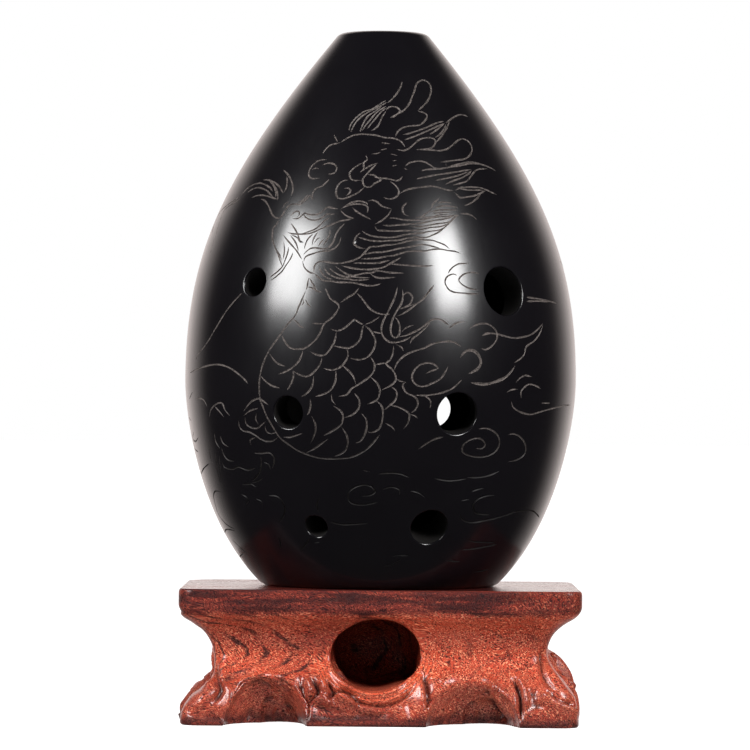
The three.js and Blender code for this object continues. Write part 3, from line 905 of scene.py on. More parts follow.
CLAW_LINES = [
    [(283, 169.5), (287, 173.3), (290, 177.8), (292.2, 183.3), (293, 189), (292.2, 193), (291, 196)],
    [(286.7, 176), (287.2, 180), (287, 184.5), (286, 188.5), (284.5, 191.3), (282.8, 192.6)],
    [(262.8, 179.8), (267.2, 179.8), (271.7, 181), (276, 183.3), (279.5, 186.7), (282, 191),
     (282.8, 192.6)],
    [(269.4, 181), (272.8, 184.4), (275, 189), (276, 193.5), (275.2, 197.2)],
    [(271.7, 181.7), (274.4, 185.6), (276.7, 190), (277.5, 194), (277.8, 198), (276.7, 200.6)],
    [(240, 196), (243, 192.8), (247.2, 188.3), (251.7, 185.3), (256, 183.7), (260.6, 183), (266, 185),
     (270.6, 188.3), (272.8, 192.2)],
    [(247.2, 192.8), (250.6, 190), (255, 188), (259.4, 187.6), (264, 189), (267.8, 191.3), (270.6, 194.4),
     (273.3, 197.2)],
    [(251, 197.8), (256, 195.8), (261.7, 195), (267.2, 196), (272.8, 197.8), (277.2, 199)],
    [(260.6, 199), (264, 200), (266.7, 202.8), (269, 206.7), (270.6, 210.6), (272.2, 214.4), (275, 217.2),
     (278.3, 218), (281, 216.7), (283.3, 213.3), (285.6, 209.4), (288.3, 206), (291.7, 204.3), (296, 204),
     (300, 204.4), (304.4, 201), (307.2, 198.3), (310, 195), (312, 199.5)],
    [(282.8, 208), (284, 205), (286, 202.8), (289, 201.7)],
    [(297.2, 202.2), (301, 201.5), (305, 198), (308, 194)],
    [(313.3, 200), (312.2, 197.2), (312.8, 192.8), (315, 189.4), (318.3, 187.2), (322.2, 186),
     (326.7, 181.7), (329.4, 179)],
    [(291.7, 218.3), (296, 218.7), (300, 217.2), (304.4, 212.8), (307.2, 214), (312.8, 214.7), (318.3, 214),
     (322.8, 211), (327.2, 207), (331.7, 207.8), (338.3, 209)],
    [(290, 216.7), (292.2, 214), (295.6, 211.3), (299, 211.7), (299.4, 214.4), (297.2, 217.2)],
    [(303.3, 214.4), (305.6, 217.2), (309.4, 219.4), (315, 220.2), (319.4, 219), (323.3, 216.7),
     (327.2, 214), (330, 214.4), (335, 213.5)],
    [(330, 217.2), (326, 219.4), (322.2, 222.8), (319, 226), (314.4, 229.4), (308.3, 231.7), (302.8, 233.6),
     (298.3, 233.6)],
    [(287.2, 232.2), (291.7, 233.5), (298.3, 234), (306, 234), (312.8, 232.4), (319.4, 229.4), (326, 226.7),
     (332.8, 224), (339.4, 221), (346, 220), (354, 218)],
    [(290.6, 222.8), (293.3, 226.7), (295.6, 230), (297.8, 234.4), (299, 238), (300, 241.7), (297.8, 238),
     (294.4, 236), (290.6, 234.4)],
    [(290, 235), (293.3, 239), (296, 243.3), (297.8, 248.3), (298.3, 251.7)],
    [(282.8, 234.4), (287.2, 240), (291.7, 245), (296, 250), (299, 254.4), (302.2, 260)],
    [(278.9, 219.4), (276.7, 224), (273.3, 227.8), (272.6, 232.2), (272.4, 238), (273.3, 242.2),
     (275, 246.7), (277.2, 251.7), (279, 257.2), (281, 262.8), (282.2, 266.7)],
    [(277.8, 250.6), (280, 255.6), (282.2, 261.7)],
    [(283.3, 241), (284.4, 247.8), (284, 254.4), (282.8, 260)],
    [(288.3, 246.7), (288.3, 250), (286.7, 255.6), (284.4, 261.7), (282.2, 266.7), (277.2, 271.7),
     (271.7, 276), (266, 280.6)],
    [(292.8, 252.2), (291.7, 256), (289, 261), (285.6, 265.6), (282.2, 271), (277.2, 275.6), (272.8, 279),
     (267.8, 281)],
    [(304.4, 249.4), (305, 245.6), (307.2, 240), (310.6, 236), (313.3, 234)],
    [(311.7, 247), (313, 240), (315.6, 235), (318.3, 231.7)],
    [(318.3, 246.7), (320, 243.3), (322.2, 240.6), (324.4, 239)],
    [(323.3, 246), (325, 242.8), (327.8, 238.3), (330, 233.3), (330, 230)],
    [(313, 245), (317, 239), (320, 238)],
    [(303.3, 255), (306, 251.7), (310.6, 248.3), (316, 247.8), (321.7, 248.6), (327.2, 248.3), (331, 245),
     (334, 240), (336, 234), (340, 228), (345, 223)],
    [(303.9, 261.7), (304.4, 258.3), (307.2, 255.6), (311.7, 254), (318.3, 252), (322.8, 251),
     (328.3, 250.6), (335, 248), (339, 243), (341, 237)],
    [(302.2, 260), (304, 266.7), (307.2, 270.6), (311.7, 273), (315, 273.3)],
    [(240, 196), (236, 199), (231.7, 201.7), (227.2, 205), (223.3, 208.3), (220, 212.2), (216.7, 217.8),
     (214.4, 223.3), (212.8, 229), (211.7, 234.4)],
    [(240, 199), (235, 202.2), (229.4, 205.6), (225, 209.4), (222.2, 214), (220.6, 219), (218.3, 225.6),
     (216.7, 232.2), (214.4, 239), (212.2, 245.6), (210.6, 252.2), (209, 257.8)],
]

BEARD_LINES = [
    [(314, 273.3), (314, 268), (316, 263.3), (320.6, 261.4), (326, 261.7), (331.7, 262.8), (339.4, 263.3),
     (346, 262.2), (352.5, 260.6), (360, 257), (365.6, 251.3), (370, 247), (378.8, 246.3), (386.3, 245),
     (393.8, 244.4), (402.5, 242.5), (410, 240.6), (420, 239.4), (426.3, 240), (432.5, 240.3),
     (438.8, 242.5), (445, 245), (450, 249.4)],
    [(319.4, 266), (320.6, 271), (324, 275.6), (328.3, 278.3), (332.8, 279)],
    [(324, 267.2), (326.7, 271.7), (331.7, 275.6), (338.3, 278), (347.5, 278.8), (355, 280), (362.5, 280),
     (370, 278.8)],
    [(328.3, 267.2), (332.8, 271), (338.3, 274.4), (345, 276.7), (352.5, 276.3), (360, 277.5),
     (370, 277.5)],
    [(335, 265.6), (340.6, 270), (346.3, 273.8), (352.5, 275.5), (360, 274), (365, 273), (372.5, 272.5),
     (376.3, 270.6), (382.5, 271.3), (390, 272.5), (403.8, 273)],
    [(341.3, 265.6), (347.5, 267), (355, 268.5), (365, 269.4), (373.8, 269), (382.5, 267.5), (387.5, 265),
     (392.5, 262), (397.5, 259.4), (401.3, 257)],
    [(314.4, 273.3), (318.3, 277.2), (324, 280.6), (330.6, 281), (339.4, 282.2), (350, 282.3),
     (358.8, 283.8), (367.5, 285.6), (376.3, 285), (381.3, 283)],
    [(370, 273), (373.8, 276.3), (380, 278), (390, 277.5), (396.3, 277)],
    [(360.6, 232.5), (356.3, 236.3), (353.8, 242.5), (355, 245), (360, 247.8), (365.6, 248.5)],
    [(389, 217.8), (395, 218), (401, 219.4), (408, 220), (415, 220), (422.5, 219.6), (430, 218),
     (438.8, 217), (447.5, 216.5), (452.5, 215.6), (459.4, 215)],
    [(415, 217.8), (422.5, 217), (431.3, 217), (440, 215), (450, 214.4)],
    [(382.5, 225), (390, 225.6), (397.5, 225), (405, 224.4), (413.8, 223.8), (422.5, 222.8), (432.5, 220.6),
     (441.3, 219.4), (448.8, 218), (453.8, 216)],
    [(410, 226.3), (420, 226.5), (427.5, 225.6), (436.3, 223.8), (445, 222.8), (450, 221.3), (455, 218)],
    [(375, 226.3), (377.5, 230), (383.8, 230.6), (393.8, 231), (402.5, 230.6), (410, 230.6), (420, 229.8),
     (430, 227.5), (437.5, 227), (443.8, 225.6), (448.8, 222.8)],
    [(361.9, 230.6), (366.3, 233.8), (373.8, 236.3), (382.5, 237.3), (392.5, 237.3), (402.5, 235.3),
     (410, 233.8), (420, 233), (430, 231.3), (438.8, 230), (443.8, 227.5)],
    [(357.5, 237), (363.8, 238.8), (371.3, 240.6), (381.3, 241), (390, 240.4), (398.8, 240), (407.5, 238),
     (415, 237.3), (426.3, 237.4), (432.5, 235), (438.8, 232), (445, 227), (450, 222), (455, 217),
     (459.4, 215)],
    [(361.3, 253.8), (366.3, 253.8), (372.5, 252.5), (381.3, 252), (390, 250.6), (397.5, 248.8),
     (405, 247.5), (412.5, 246.3), (420, 244.6), (427.5, 245), (435, 247), (440, 248)],
    [(360.6, 258.8), (368.8, 258.5), (377.5, 258), (386.3, 256.3), (393.8, 255.3), (401.3, 253),
     (408.8, 251.3), (417.5, 251), (425, 251), (432.5, 249.4), (440, 249), (448.8, 250.6), (455, 251.3),
     (461.3, 253.8)],
    [(353, 263), (360, 263), (367.5, 263), (376.3, 263), (382.5, 262), (390, 260)],
    [(390, 263.8), (396.3, 264.4), (403.8, 265), (411.3, 265.4), (420, 266), (427.5, 266), (433.8, 265.3)],
    [(420, 217), (427.5, 212.5), (431.3, 209.4)],
    [(431.3, 209.4), (432.5, 205), (435, 202), (440, 197.5)],
    [(430, 212), (440, 210), (447.5, 209.8), (457.5, 210)],
    [(431.3, 214), (438.8, 212.8), (446.3, 212.5), (452.5, 212.5)],
    [(434, 208), (442, 206), (450, 206), (458, 207.5)],
    [(437, 203), (444, 202), (452, 203)],
]

BODY_LINES = [
    [(306, 290), (303, 297), (298.6, 307), (295, 315.7), (287, 325), (281.4, 333), (277, 339.3),
     (270.7, 348), (265.7, 357), (261.4, 368.6), (259.3, 381.4), (259.3, 390), (260, 398.6), (263, 407),
     (266.4, 415.7), (273, 427), (279.3, 437), (288.6, 444.3), (297, 450), (307, 454.3), (320, 458),
     (337, 458.6), (351.4, 457), (365.7, 450), (374.3, 441.4), (380, 434.3)],
    [(309, 277.2), (307.8, 282), (307.2, 286.7), (306, 290)],
    [(309, 277.2), (311.7, 282), (315.6, 289), (311, 287.2), (307.8, 287.2)],
    [(307.5, 287), (312.8, 288.3), (317.2, 291), (322.8, 292.2)],
    [(305, 298), (307.2, 303.3), (311.7, 307.8)],
    [(303, 298), (303.5, 303), (300.5, 306)],
    [(293, 319), (297, 322), (300, 326), (305, 328)],
    [(325, 288), (326.7, 291), (330, 298), (334, 301), (338.3, 304.4), (339.4, 309)],
    [(340, 303), (347.5, 297.5), (353.8, 293.8), (359.4, 287.5)],
    [(356.3, 292.5), (361.3, 297.5), (365, 302.5), (370, 308.8), (377.5, 313), (385, 314.4), (390, 313.8)],
]

SCALE_LINES = [
    [(281.4, 334.3), (285.7, 343), (290.7, 348), (297, 349), (305, 348), (311.4, 343.6), (317, 338),
     (321.4, 330), (324.3, 323.6), (331.4, 318), (337, 311.4), (339.3, 305)],
    [(311.4, 323), (317, 323.6), (324.3, 323.6)],
    [(269.3, 353), (273, 358.6), (278, 363.6), (285.7, 366.4)],
    [(278, 374.3), (285.7, 371.4), (293, 367), (298.6, 361.4), (301.4, 355.7), (303, 350)],
    [(310, 351.4), (315.7, 354.3), (323, 355.4), (327, 353), (331.4, 347), (335, 340), (336.4, 331.4)],
    [(330, 328.6), (337, 330.7), (344.3, 328), (351.4, 322), (354.3, 319.3), (360, 323), (363.6, 324.3)],
    [(333, 345.7), (340, 347), (348.6, 348), (355.7, 344.3), (360.7, 338), (362, 330), (363.6, 325)],
    [(293, 370.7), (298.6, 374.3), (305.7, 376.4), (311.4, 374.3), (317, 368.6), (320.7, 363), (322, 357)],
    [(323, 368), (331.4, 370), (338.6, 368), (344.3, 363), (348, 355.7), (347, 348.6)],
    [(350, 358), (358.6, 359.6), (365.7, 358), (371.4, 353), (375, 345.7), (375, 338.6), (370.7, 330.7),
     (364.3, 325)],
    [(370.7, 330.7), (377, 332.6), (383, 333.3)],
    [(364.3, 324.5), (371.4, 322), (380, 316.4)],
    [(260.7, 375.7), (266.4, 382), (273, 386), (280, 388)],
    [(282, 396.4), (287, 390), (291.4, 383), (293.6, 375.7), (293, 370)],
    [(298, 398), (304.3, 395), (310, 390), (313, 383), (313.6, 375.7)],
    [(315, 396.4), (323, 394.3), (330, 390.7), (334.3, 384.3), (336, 377), (335.7, 370)],
    [(342, 365), (350, 372), (354.3, 378.6), (355.7, 384.3)],
    [(338.6, 396.4), (347, 394.3), (351.4, 388.6), (354.3, 387), (363, 381.4), (370, 376.4), (374.3, 370),
     (374.3, 363), (370, 356.4)],
    [(374.5, 365), (380, 363.6), (385.7, 363)],
    [(393.6, 345.7), (393, 353), (390, 360), (385.7, 363.6), (391.4, 368.6), (395.7, 375.7), (395, 381.4),
     (390, 385.7), (381.4, 390)],
    [(395.7, 344.3), (401.4, 347), (403.6, 351.4)],
    [(394.3, 370), (397, 363), (404.3, 355.7), (413, 351.4), (424.3, 348), (431.4, 344.3), (440, 342),
     (451.4, 341.4), (457, 343.6), (461.4, 347)],
    [(370.7, 377), (377, 383), (380, 390), (378.6, 397), (375.7, 400.7), (367, 404.3)],
    [(390, 385.7), (395.7, 390), (397, 395.7), (394.3, 401.4), (390, 405), (384.3, 410)],
    [(406.4, 382), (403, 384.3), (403.6, 388.6), (407, 393), (413, 395.7), (417, 399.3), (418, 404.3),
     (415, 410), (410.7, 413)],
    [(395.7, 378), (400, 381), (406, 382)],
    [(331.4, 393), (332, 400), (336, 405)],
    [(333, 405.7), (340, 410), (343, 415.7), (342, 423), (338.6, 427), (331.4, 431.4), (323.6, 435.7)],
    [(354.3, 393), (359.3, 400), (358.6, 408.6), (353, 414.3), (344.3, 417.6)],
    [(361.4, 413), (365.7, 418.6), (367, 425.7), (364.3, 435.7), (360, 441.4), (355, 443)],
    [(375.7, 400.7), (380.7, 404.3), (383, 411.4), (382, 421.4), (378.6, 429.3), (371.4, 432.4),
     (367, 431.4)],
    [(390, 405), (398.6, 407), (405.7, 410.7), (409.3, 414.3), (408, 423), (403, 429.3)],
    [(410, 414.3), (415, 415.7), (418, 418.6)],
    [(385, 423), (391.4, 426.4), (395, 430.7)],
    [(311.4, 415.7), (315, 423), (315.7, 430), (313.6, 437), (310.7, 443)],
    [(341.4, 427), (345.7, 433), (348, 441.4), (345.7, 450), (340, 454.3), (333.6, 456.4)],
    [(305.7, 453), (314.3, 448.6), (321.4, 443.6), (328.6, 438.6)],
    [(310, 398.6), (310.7, 404.3), (308.6, 413), (303, 420)],
    [(283, 437), (290, 437), (297, 435), (303, 433)],
]

FRONT_LEG_LINES = [
    [(434.4, 284.6), (430, 290), (426.3, 295), (422, 300), (416.3, 304), (410, 309), (402.5, 313.8),
     (396.3, 316.3)],
    [(397.5, 286.3), (396.3, 292.5), (393.8, 300), (390, 307.5), (386.3, 315), (383, 321.3), (381.5, 327.5),
     (382, 333.8), (385, 338.8), (390, 342), (396.3, 342.3), (405, 340), (411.3, 336.3)],
    [(402.5, 288.8), (403, 296.3), (401.3, 303.8), (398, 308.8), (393.8, 316.3), (391.3, 323.8),
     (390.6, 331.3), (392.5, 336.3), (396.3, 337.3), (399.4, 333.8), (399.8, 326.3), (398, 320.6),
     (395, 317)],
    [(402.5, 296.3), (406.3, 292.5), (410, 293.8), (412.5, 297.5), (410, 303.8), (405, 307),
     (398.8, 309.4)],
    [(405, 307.5), (415, 303.8)],
    [(401.3, 332.5), (406.3, 327.5), (413.8, 325)],
    [(397.5, 337), (405, 335.6), (412.5, 332.5), (420, 328.8), (426.3, 323.8), (431.3, 320), (436.3, 318.8),
     (442, 320), (446.3, 323), (448.8, 325)],
    [(410, 343.8), (412.5, 338.8), (418.8, 333.8), (426.3, 327), (430, 322.5)],
    [(448, 328.8), (452.5, 325.6), (457.5, 322.5), (465.6, 321.5)],
]

CLOUD_LINES = [
    [(448, 273.8), (450, 270), (453.8, 266.3), (458.8, 263.8), (463.8, 263.5), (468.8, 263)],
    [(457.5, 275.6), (453.8, 274), (450, 274.8), (446.3, 277.5), (445, 282.5), (447, 287), (450, 290.4),
     (455, 292.3), (462.5, 293), (471.3, 293.8), (480, 294)],
    [(480, 274.4), (475, 272.5), (468.8, 272.5), (462.5, 275), (458.8, 279.4), (460.6, 283), (465, 286.3),
     (471.3, 288.8), (481.3, 289.8)],
    [(468.6, 329.3), (474.3, 325.7), (483, 323.3), (490, 325), (495, 329.3), (497, 333.6), (496.4, 340),
     (491.4, 346.4), (485.7, 349.6), (480.7, 348)],
    [(482, 335.7), (487, 333.3), (497, 334), (505.7, 336.4), (514.3, 338), (523, 337), (531.4, 334.3),
     (538.6, 328.6), (543, 323)],
    [(543, 324.3), (540, 333), (534.3, 340.7), (526.4, 346.4), (524.3, 354.3), (518.6, 360), (513.6, 363)],
    [(425.7, 373.6), (432, 370.5), (438, 368), (433, 363.6), (425.7, 363), (418.6, 365.7), (413.6, 371.4),
     (412, 378.6), (415.7, 384.3), (423, 386.4), (431.4, 383.6), (440, 379), (445, 372.5), (448, 366.4)],
    [(415.7, 395), (424.3, 395.4), (435.7, 394), (445.7, 391.4), (454.3, 387), (462, 379.3)],
    [(423, 395.7), (427, 397), (430.7, 401.4), (430, 408.6)],
    [(532, 377), (525.7, 375.4), (520, 378), (515.7, 383)],
    [(521.4, 398.6), (520.7, 393), (523, 388.6), (528.6, 384.3), (535.7, 385.7), (540.7, 388.6)],
    [(507, 392), (513, 389.3), (518, 389.3)],
    [(511.4, 401.4), (513, 407), (519, 411.5), (525, 413.5), (531.4, 414.3), (541.4, 411.4), (551.4, 408.6),
     (563, 405.7), (570, 405)],
    [(541.4, 403), (550, 403)],
    [(523.6, 283), (524, 291), (523, 301.4), (520.7, 307)],
    [(524.3, 297), (537, 298.6), (550, 301.4), (557, 303.6)],
    [(524.3, 301.4), (537, 301), (550, 301.7)],
    [(475.8, 448.3), (482.5, 448.3), (485.3, 444.2), (481.7, 439.2), (475, 438.3), (468.3, 440.8),
     (463.3, 445), (462.5, 451.7), (470, 455.8), (481.7, 457), (491.7, 454.2), (498.3, 447.5),
     (499.2, 438.3), (494.2, 431.7), (486.7, 428.3), (478.3, 428.7)],
    [(507.5, 435), (513.3, 433.7), (520.8, 437.5), (525.3, 445), (525, 453.3), (518.3, 459.2),
     (507.5, 462)],
    [(418, 449.5), (426.7, 443.3), (436.7, 438.3), (446.7, 436.7), (456.7, 437.8)],
    [(434.2, 478.3), (443.3, 480), (453.3, 480.5), (466.7, 478.7)],
    [(466.7, 477.5), (480, 477.2), (490, 475), (499.2, 471.2)],
    [(471.7, 491.7), (478.3, 489.2), (484.2, 488.3)],
    [(495, 495.3), (486.7, 495.8), (478.3, 499.2), (473.3, 505), (475, 512.5), (481.7, 514.2),
     (490, 514.7)],
    [(460.8, 500.8), (469.2, 499.2)],
    [(459.2, 514.2), (463.3, 520), (471.7, 522.5), (483.3, 520.8), (495, 518.3), (506.7, 515), (513, 512.5),
     (520, 511.3), (530, 510.3), (535, 512.5), (539.2, 517.5)],
    [(468.3, 540.8), (478.3, 542), (495, 542.5)],
    [(461.7, 550), (476.7, 548.3), (496.7, 544.2)],
    [(445, 560), (452, 561), (460, 561.7)],
    [(391.7, 556.7), (400, 555.3), (409.2, 555.8)],
    [(384.2, 566.3), (391.7, 565), (401.7, 559.2)],
    [(473.3, 572.5), (489.2, 569.2)],
    [(360.8, 496.2), (370, 495.3), (375, 491.7), (371.7, 486.7), (363.3, 485), (354.2, 487.5),
     (348.3, 493.3), (349.2, 500.8), (355, 504.2), (365, 504.7), (378.3, 502)],
    [(377.5, 474.2), (386.7, 473), (396.7, 473.3), (403.3, 474.7), (409.2, 477.5)],
    [(382.5, 489.5), (390, 487), (396.7, 488.3), (400, 490.8), (399, 495)],
    [(410, 490.8), (418.3, 492.5), (425, 497.5)],
    [(361.7, 470), (370, 471.7)],
    [(320, 497), (317, 504.3), (319.3, 513), (327, 520), (338.6, 524), (350, 524.4), (368.3, 523.3)],
    [(268.6, 495.7), (275.7, 495.7), (282, 500.7), (285, 510), (283, 517), (278.6, 523)],
    [(255.7, 498.6), (261.4, 501.4), (263, 507)],
    [(241.4, 494.3), (246.4, 497), (248, 501.4), (245.7, 505)],
    [(275.7, 534.3), (280, 540), (280.7, 548.6)],
    [(309.3, 538.6), (305.7, 544.3), (300, 551.4)],
    [(314.3, 543), (320, 542)],
    [(220.7, 491.4), (215, 491.4), (213.6, 497), (215.7, 505.7), (218.6, 514.3), (225.7, 523.6),
     (235, 529.3)],
    [(223, 533), (227, 529.3), (235.7, 530.7)],
    [(231.4, 538.6), (237, 544.3), (243, 550), (248.6, 553.6)],
    [(240, 557), (244.3, 553.6)],
]

TAIL_LINES = [
    [(243.6, 411.4), (248.6, 404.3), (254.3, 399.7), (260, 398.6), (265.7, 403), (271.4, 407)],
    [(243.6, 415.7), (250, 410.7), (258.6, 408)],
    [(238.6, 420), (239.3, 426.4), (243, 430.7), (249.3, 432), (255, 435), (260, 438.6), (265.7, 441),
     (273, 440.7), (278, 437)],
    [(245, 416.4), (245.7, 423), (250, 427), (257, 428.3), (261.4, 425), (265.7, 421.4)],
    [(256.4, 413), (255.7, 419.3), (258.6, 424.3)],
    [(265, 425.7), (266.4, 431.4), (271.4, 433.6), (276.4, 432)],
    [(268.6, 422), (274.3, 423.6)],
    [(255.7, 437), (250, 440), (251.4, 445.7)],
    [(253.6, 453), (261.4, 453.3), (268.6, 452.6), (273, 455.7), (274.3, 461.4), (272, 468.6)],
    [(260.7, 455.7), (261.4, 463), (260, 471.4), (256.4, 477), (251.4, 481.4)],
    [(263.6, 462), (268.6, 464.3), (270.7, 470)],
    [(251.4, 483), (258.6, 480.7), (263, 478)],
    [(241.4, 484.7), (248.6, 484), (252, 484.3), (255.7, 487)],
    [(221.4, 447), (223, 453), (227, 459.3), (234.3, 461.4)],
    [(222, 461.4), (224.3, 467), (231.4, 469.3), (238.6, 467), (247, 470), (255.7, 468)],
    [(214.3, 433), (215.7, 441.4), (220, 448.6)],
    [(220, 435.7), (223, 443), (228.6, 447)],
    [(209.3, 444.3), (210, 455.7), (213, 464.3)],
    [(215.7, 453), (217, 467), (220, 483)],
    [(219.3, 455.7), (220, 467), (221.4, 484.3)],
    [(195.7, 399.3), (199.3, 398), (204.3, 400.7), (207, 407)],
    [(209.3, 417), (210.7, 410), (215.7, 404.3), (222, 403), (225, 410), (230, 415.7)],
    [(214.3, 405.7), (219.3, 411.4), (224, 417)],
    [(193, 391.4), (189.3, 399.3)],
    [(188.6, 416.4), (191.4, 421.4)],
    [(193.6, 431.4), (193, 438.6), (195.7, 441.4), (198.6, 437)],
    [(193, 441.4), (195, 448.6), (198.6, 452)],
    [(209.3, 463.6), (205, 467), (201.4, 474.3)],
    [(244, 291), (238, 297), (231, 305), (225, 313), (220, 321), (214, 331), (210, 338), (204, 347),
     (199, 353), (195, 361)],
    [(190, 373), (195, 370), (200, 368), (208, 365.5), (215, 364.5), (222, 365), (230, 368), (236, 372),
     (241, 376), (246, 381), (248, 384)],
    [(261.7, 268.3), (255, 268.3), (249.4, 271), (245.6, 275.6), (244, 282), (244.4, 290), (248, 295)],
]

BOLD_LINES = [
    [(515, 365.7), (511.4, 371.4), (504.3, 378), (494.3, 382), (484.3, 384.3), (470.7, 382.6)],
    [(460, 358), (463.6, 353), (468.6, 350), (475, 351.4), (479.3, 356.4), (481, 363), (477, 369.3),
     (468, 374)],
    [(434.4, 284.6), (430, 290), (426.3, 295)],
    [(482, 335.7), (487, 333.3), (493, 333.5)],
    [(303, 297), (300, 304), (296.5, 311)],
]

ENGRAVING = (MANE_LINES + HEAD_LINES + CLAW_LINES + BEARD_LINES + BODY_LINES + SCALE_LINES
             + FRONT_LEG_LINES + CLOUD_LINES + TAIL_LINES)


# Clouds round the back, which the photograph doesn't show: one scroll, one puff and one wisp, repeated.
# Each cloud has its place on the flattened skin, its size, and 1 or -1 for the way it faces.
SCROLL = [(0.1, 0), (0.35, 0.15), (0.3, -0.3), (-0.15, -0.45), (-0.6, -0.1), (-0.5, 0.55), (0.1, 0.85),
          (0.8, 0.5), (1.2, -0.2), (1.9, -0.65), (2.8, -0.6), (3.8, -0.3)]
PUFF = [(-1.3, -0.2), (-1.45, 0.4), (-1.0, 0.95), (-0.45, 0.8)]
WISP = [(-0.9, -0.9), (0.1, -1.25), (1.2, -1.2), (2.3, -0.95), (3.1, -1.1)]
BACK_CLOUDS = [
    (-70, 24, 4.2, -1), (-66, 55, 4.6, -1), (-80, 80, 3.8, 1), (-95, 38, 4.4, 1), (-104, 66, 4.2, -1),
    (72, 34, 4.4, 1), (68, 66, 4.2, -1), (84, 86, 3.6, -1), (93, 50, 4.6, -1), (104, 22, 4.2, -1),
    (106, 74, 3.8, 1), (-100, 12, 3.6, 1),
]


def back_lines():
    lines = []
    for around, along, size, facing in BACK_CLOUDS:
        for stroke in (SCROLL, PUFF, WISP):
            places = np.array(stroke) * (size * facing, size) + (around, along)
            lines.append(Line(smooth_through(places, LINE_STEP), LINE_WIDTH))
    return lines


def engraved_lines():
    lines = [photo_line(pixels) for pixels in ENGRAVING]
    lines += [photo_line(pixels, BOLD_LINE_WIDTH) for pixels in BOLD_LINES]
    return lines + back_lines()


# The vessel's mesh


class Cut:
    """The engraved cuts: their edges on the flattened skin, and how deep the skin is cut at any point."""

    def __init__(self, lines):
        self.points = []
        self.edges = []
        self.centres = []
        self.halves = []
        self.runs = []
        for line in lines:
            for places, halves in clear_runs(line):
                self.add_strip(places, halves)
        self.tree = kdtree.KDTree(len(self.centres))
        for i, centre in enumerate(self.centres):
            self.tree.insert(centre, i)
        self.tree.balance()

    def add_strip(self, places, halves):
        halves[[0, -1]] = 0
        first = len(self.points)
        run = len(self.runs)
        rows = []
        for i, (place, half) in enumerate(zip(places, halves)):
            shrink = np.interp(place[1], SKIN.lengths, SKIN.radii) / BELT_RADIUS
            ahead = places[min(i + 1, len(places) - 1)] - places[max(i - 1, 0)]
            tangent = Vector((ahead[0] * shrink, ahead[1])).normalized()
            side = np.array([-tangent.y * half / shrink, tangent.x * half])
            if half > 0:
                rows.append((first, first + 1, first + 2))
                self.points += [tuple(place + side), tuple(place), tuple(place - side)]
                first += 3
            else:
                rows.append((first, first, first))
                self.points.append(tuple(place))
                first += 1
            self.halves.append(half)
            self.runs.append(run)
        self.centres += [Vector(point) for point in SKIN.points(places[:, 0] / BELT_RADIUS, places[:, 1])]
        for near, far in zip(rows, rows[1:]):
            self.edges += list(zip(near, far))

    def depth(self, point):
        """How deep the skin is cut here. A cut's floor falls from its edges to its middle."""
        deepest = 0
        for _, found, _ in self.tree.find_range(point, LINE_STEP):
            for i in (found - 1, found):
                if i < 0 or i + 1 == len(self.runs) or self.runs[i] != self.runs[i + 1]:
                    continue
                start, step = self.centres[i], self.centres[i + 1] - self.centres[i]
                share = min(1, max(0, (point - start).dot(step) / step.length_squared))
                half = self.halves[i] + (self.halves[i + 1] - self.halves[i]) * share
                deepest = max(deepest, half - (point - start - share * step).length)
        return deepest * 2 * LINE_DEPTH / LINE_WIDTH


class Shell:
    """Collects faces in zones, each zone with its own finish, and welds them into one mesh."""

    def __init__(self):
        self.points = []
        self.faces = []
        self.zones = []

    def add(self, points, faces, zone):
        first = len(self.points)
        self.points.extend(map(tuple, points))
        self.faces.extend([first + corner for corner in face] for face in faces)
        self.zones.extend([zone] * len(faces) if isinstance(zone, str) else zone)

    def rings(self, rings, zone):
        """Strips between rings of points, each closed on itself."""
        count = len(rings[0])
        faces = []
        for level in range(len(rings) - 1):
            for i in range(count):
                a, b = level * count + i, level * count + (i + 1) % count
                faces.append([a, b, b + count, a + count])
        self.add(np.vstack(rings), faces, zone)

    def disc(self, ring, zone):
        centre = np.mean(ring, axis=0)
        count = len(ring)
        self.add([*ring, centre], [[i, (i + 1) % count, count] for i in range(count)], zone)


def turned_rings(profile):
    """A ring of points around the axis for each radius and height of a profile."""
    around = np.linspace(-math.pi, math.pi, COLUMNS, endpoint=False)
    return [
        np.stack([radius * np.sin(around), -radius * np.cos(around), np.full(COLUMNS, height)], axis=-1)
        for radius, height in profile
    ]


def flat_grid(outline, row_step, blocked):
    """Places for the skin's own points: rows and columns, but for those that something else takes."""
    columns = np.linspace(-math.pi, math.pi, COLUMNS + 1)
    rows = np.linspace(0, outline.length, int(outline.length / row_step) + 1)
    places = []
    for j, along in enumerate(rows):
        for i, around in enumerate(columns):
            edge = i in (0, COLUMNS) or j in (0, len(rows) - 1)
            if edge or not blocked(around, along):
                places.append((around * BELT_RADIUS, along))
    return places


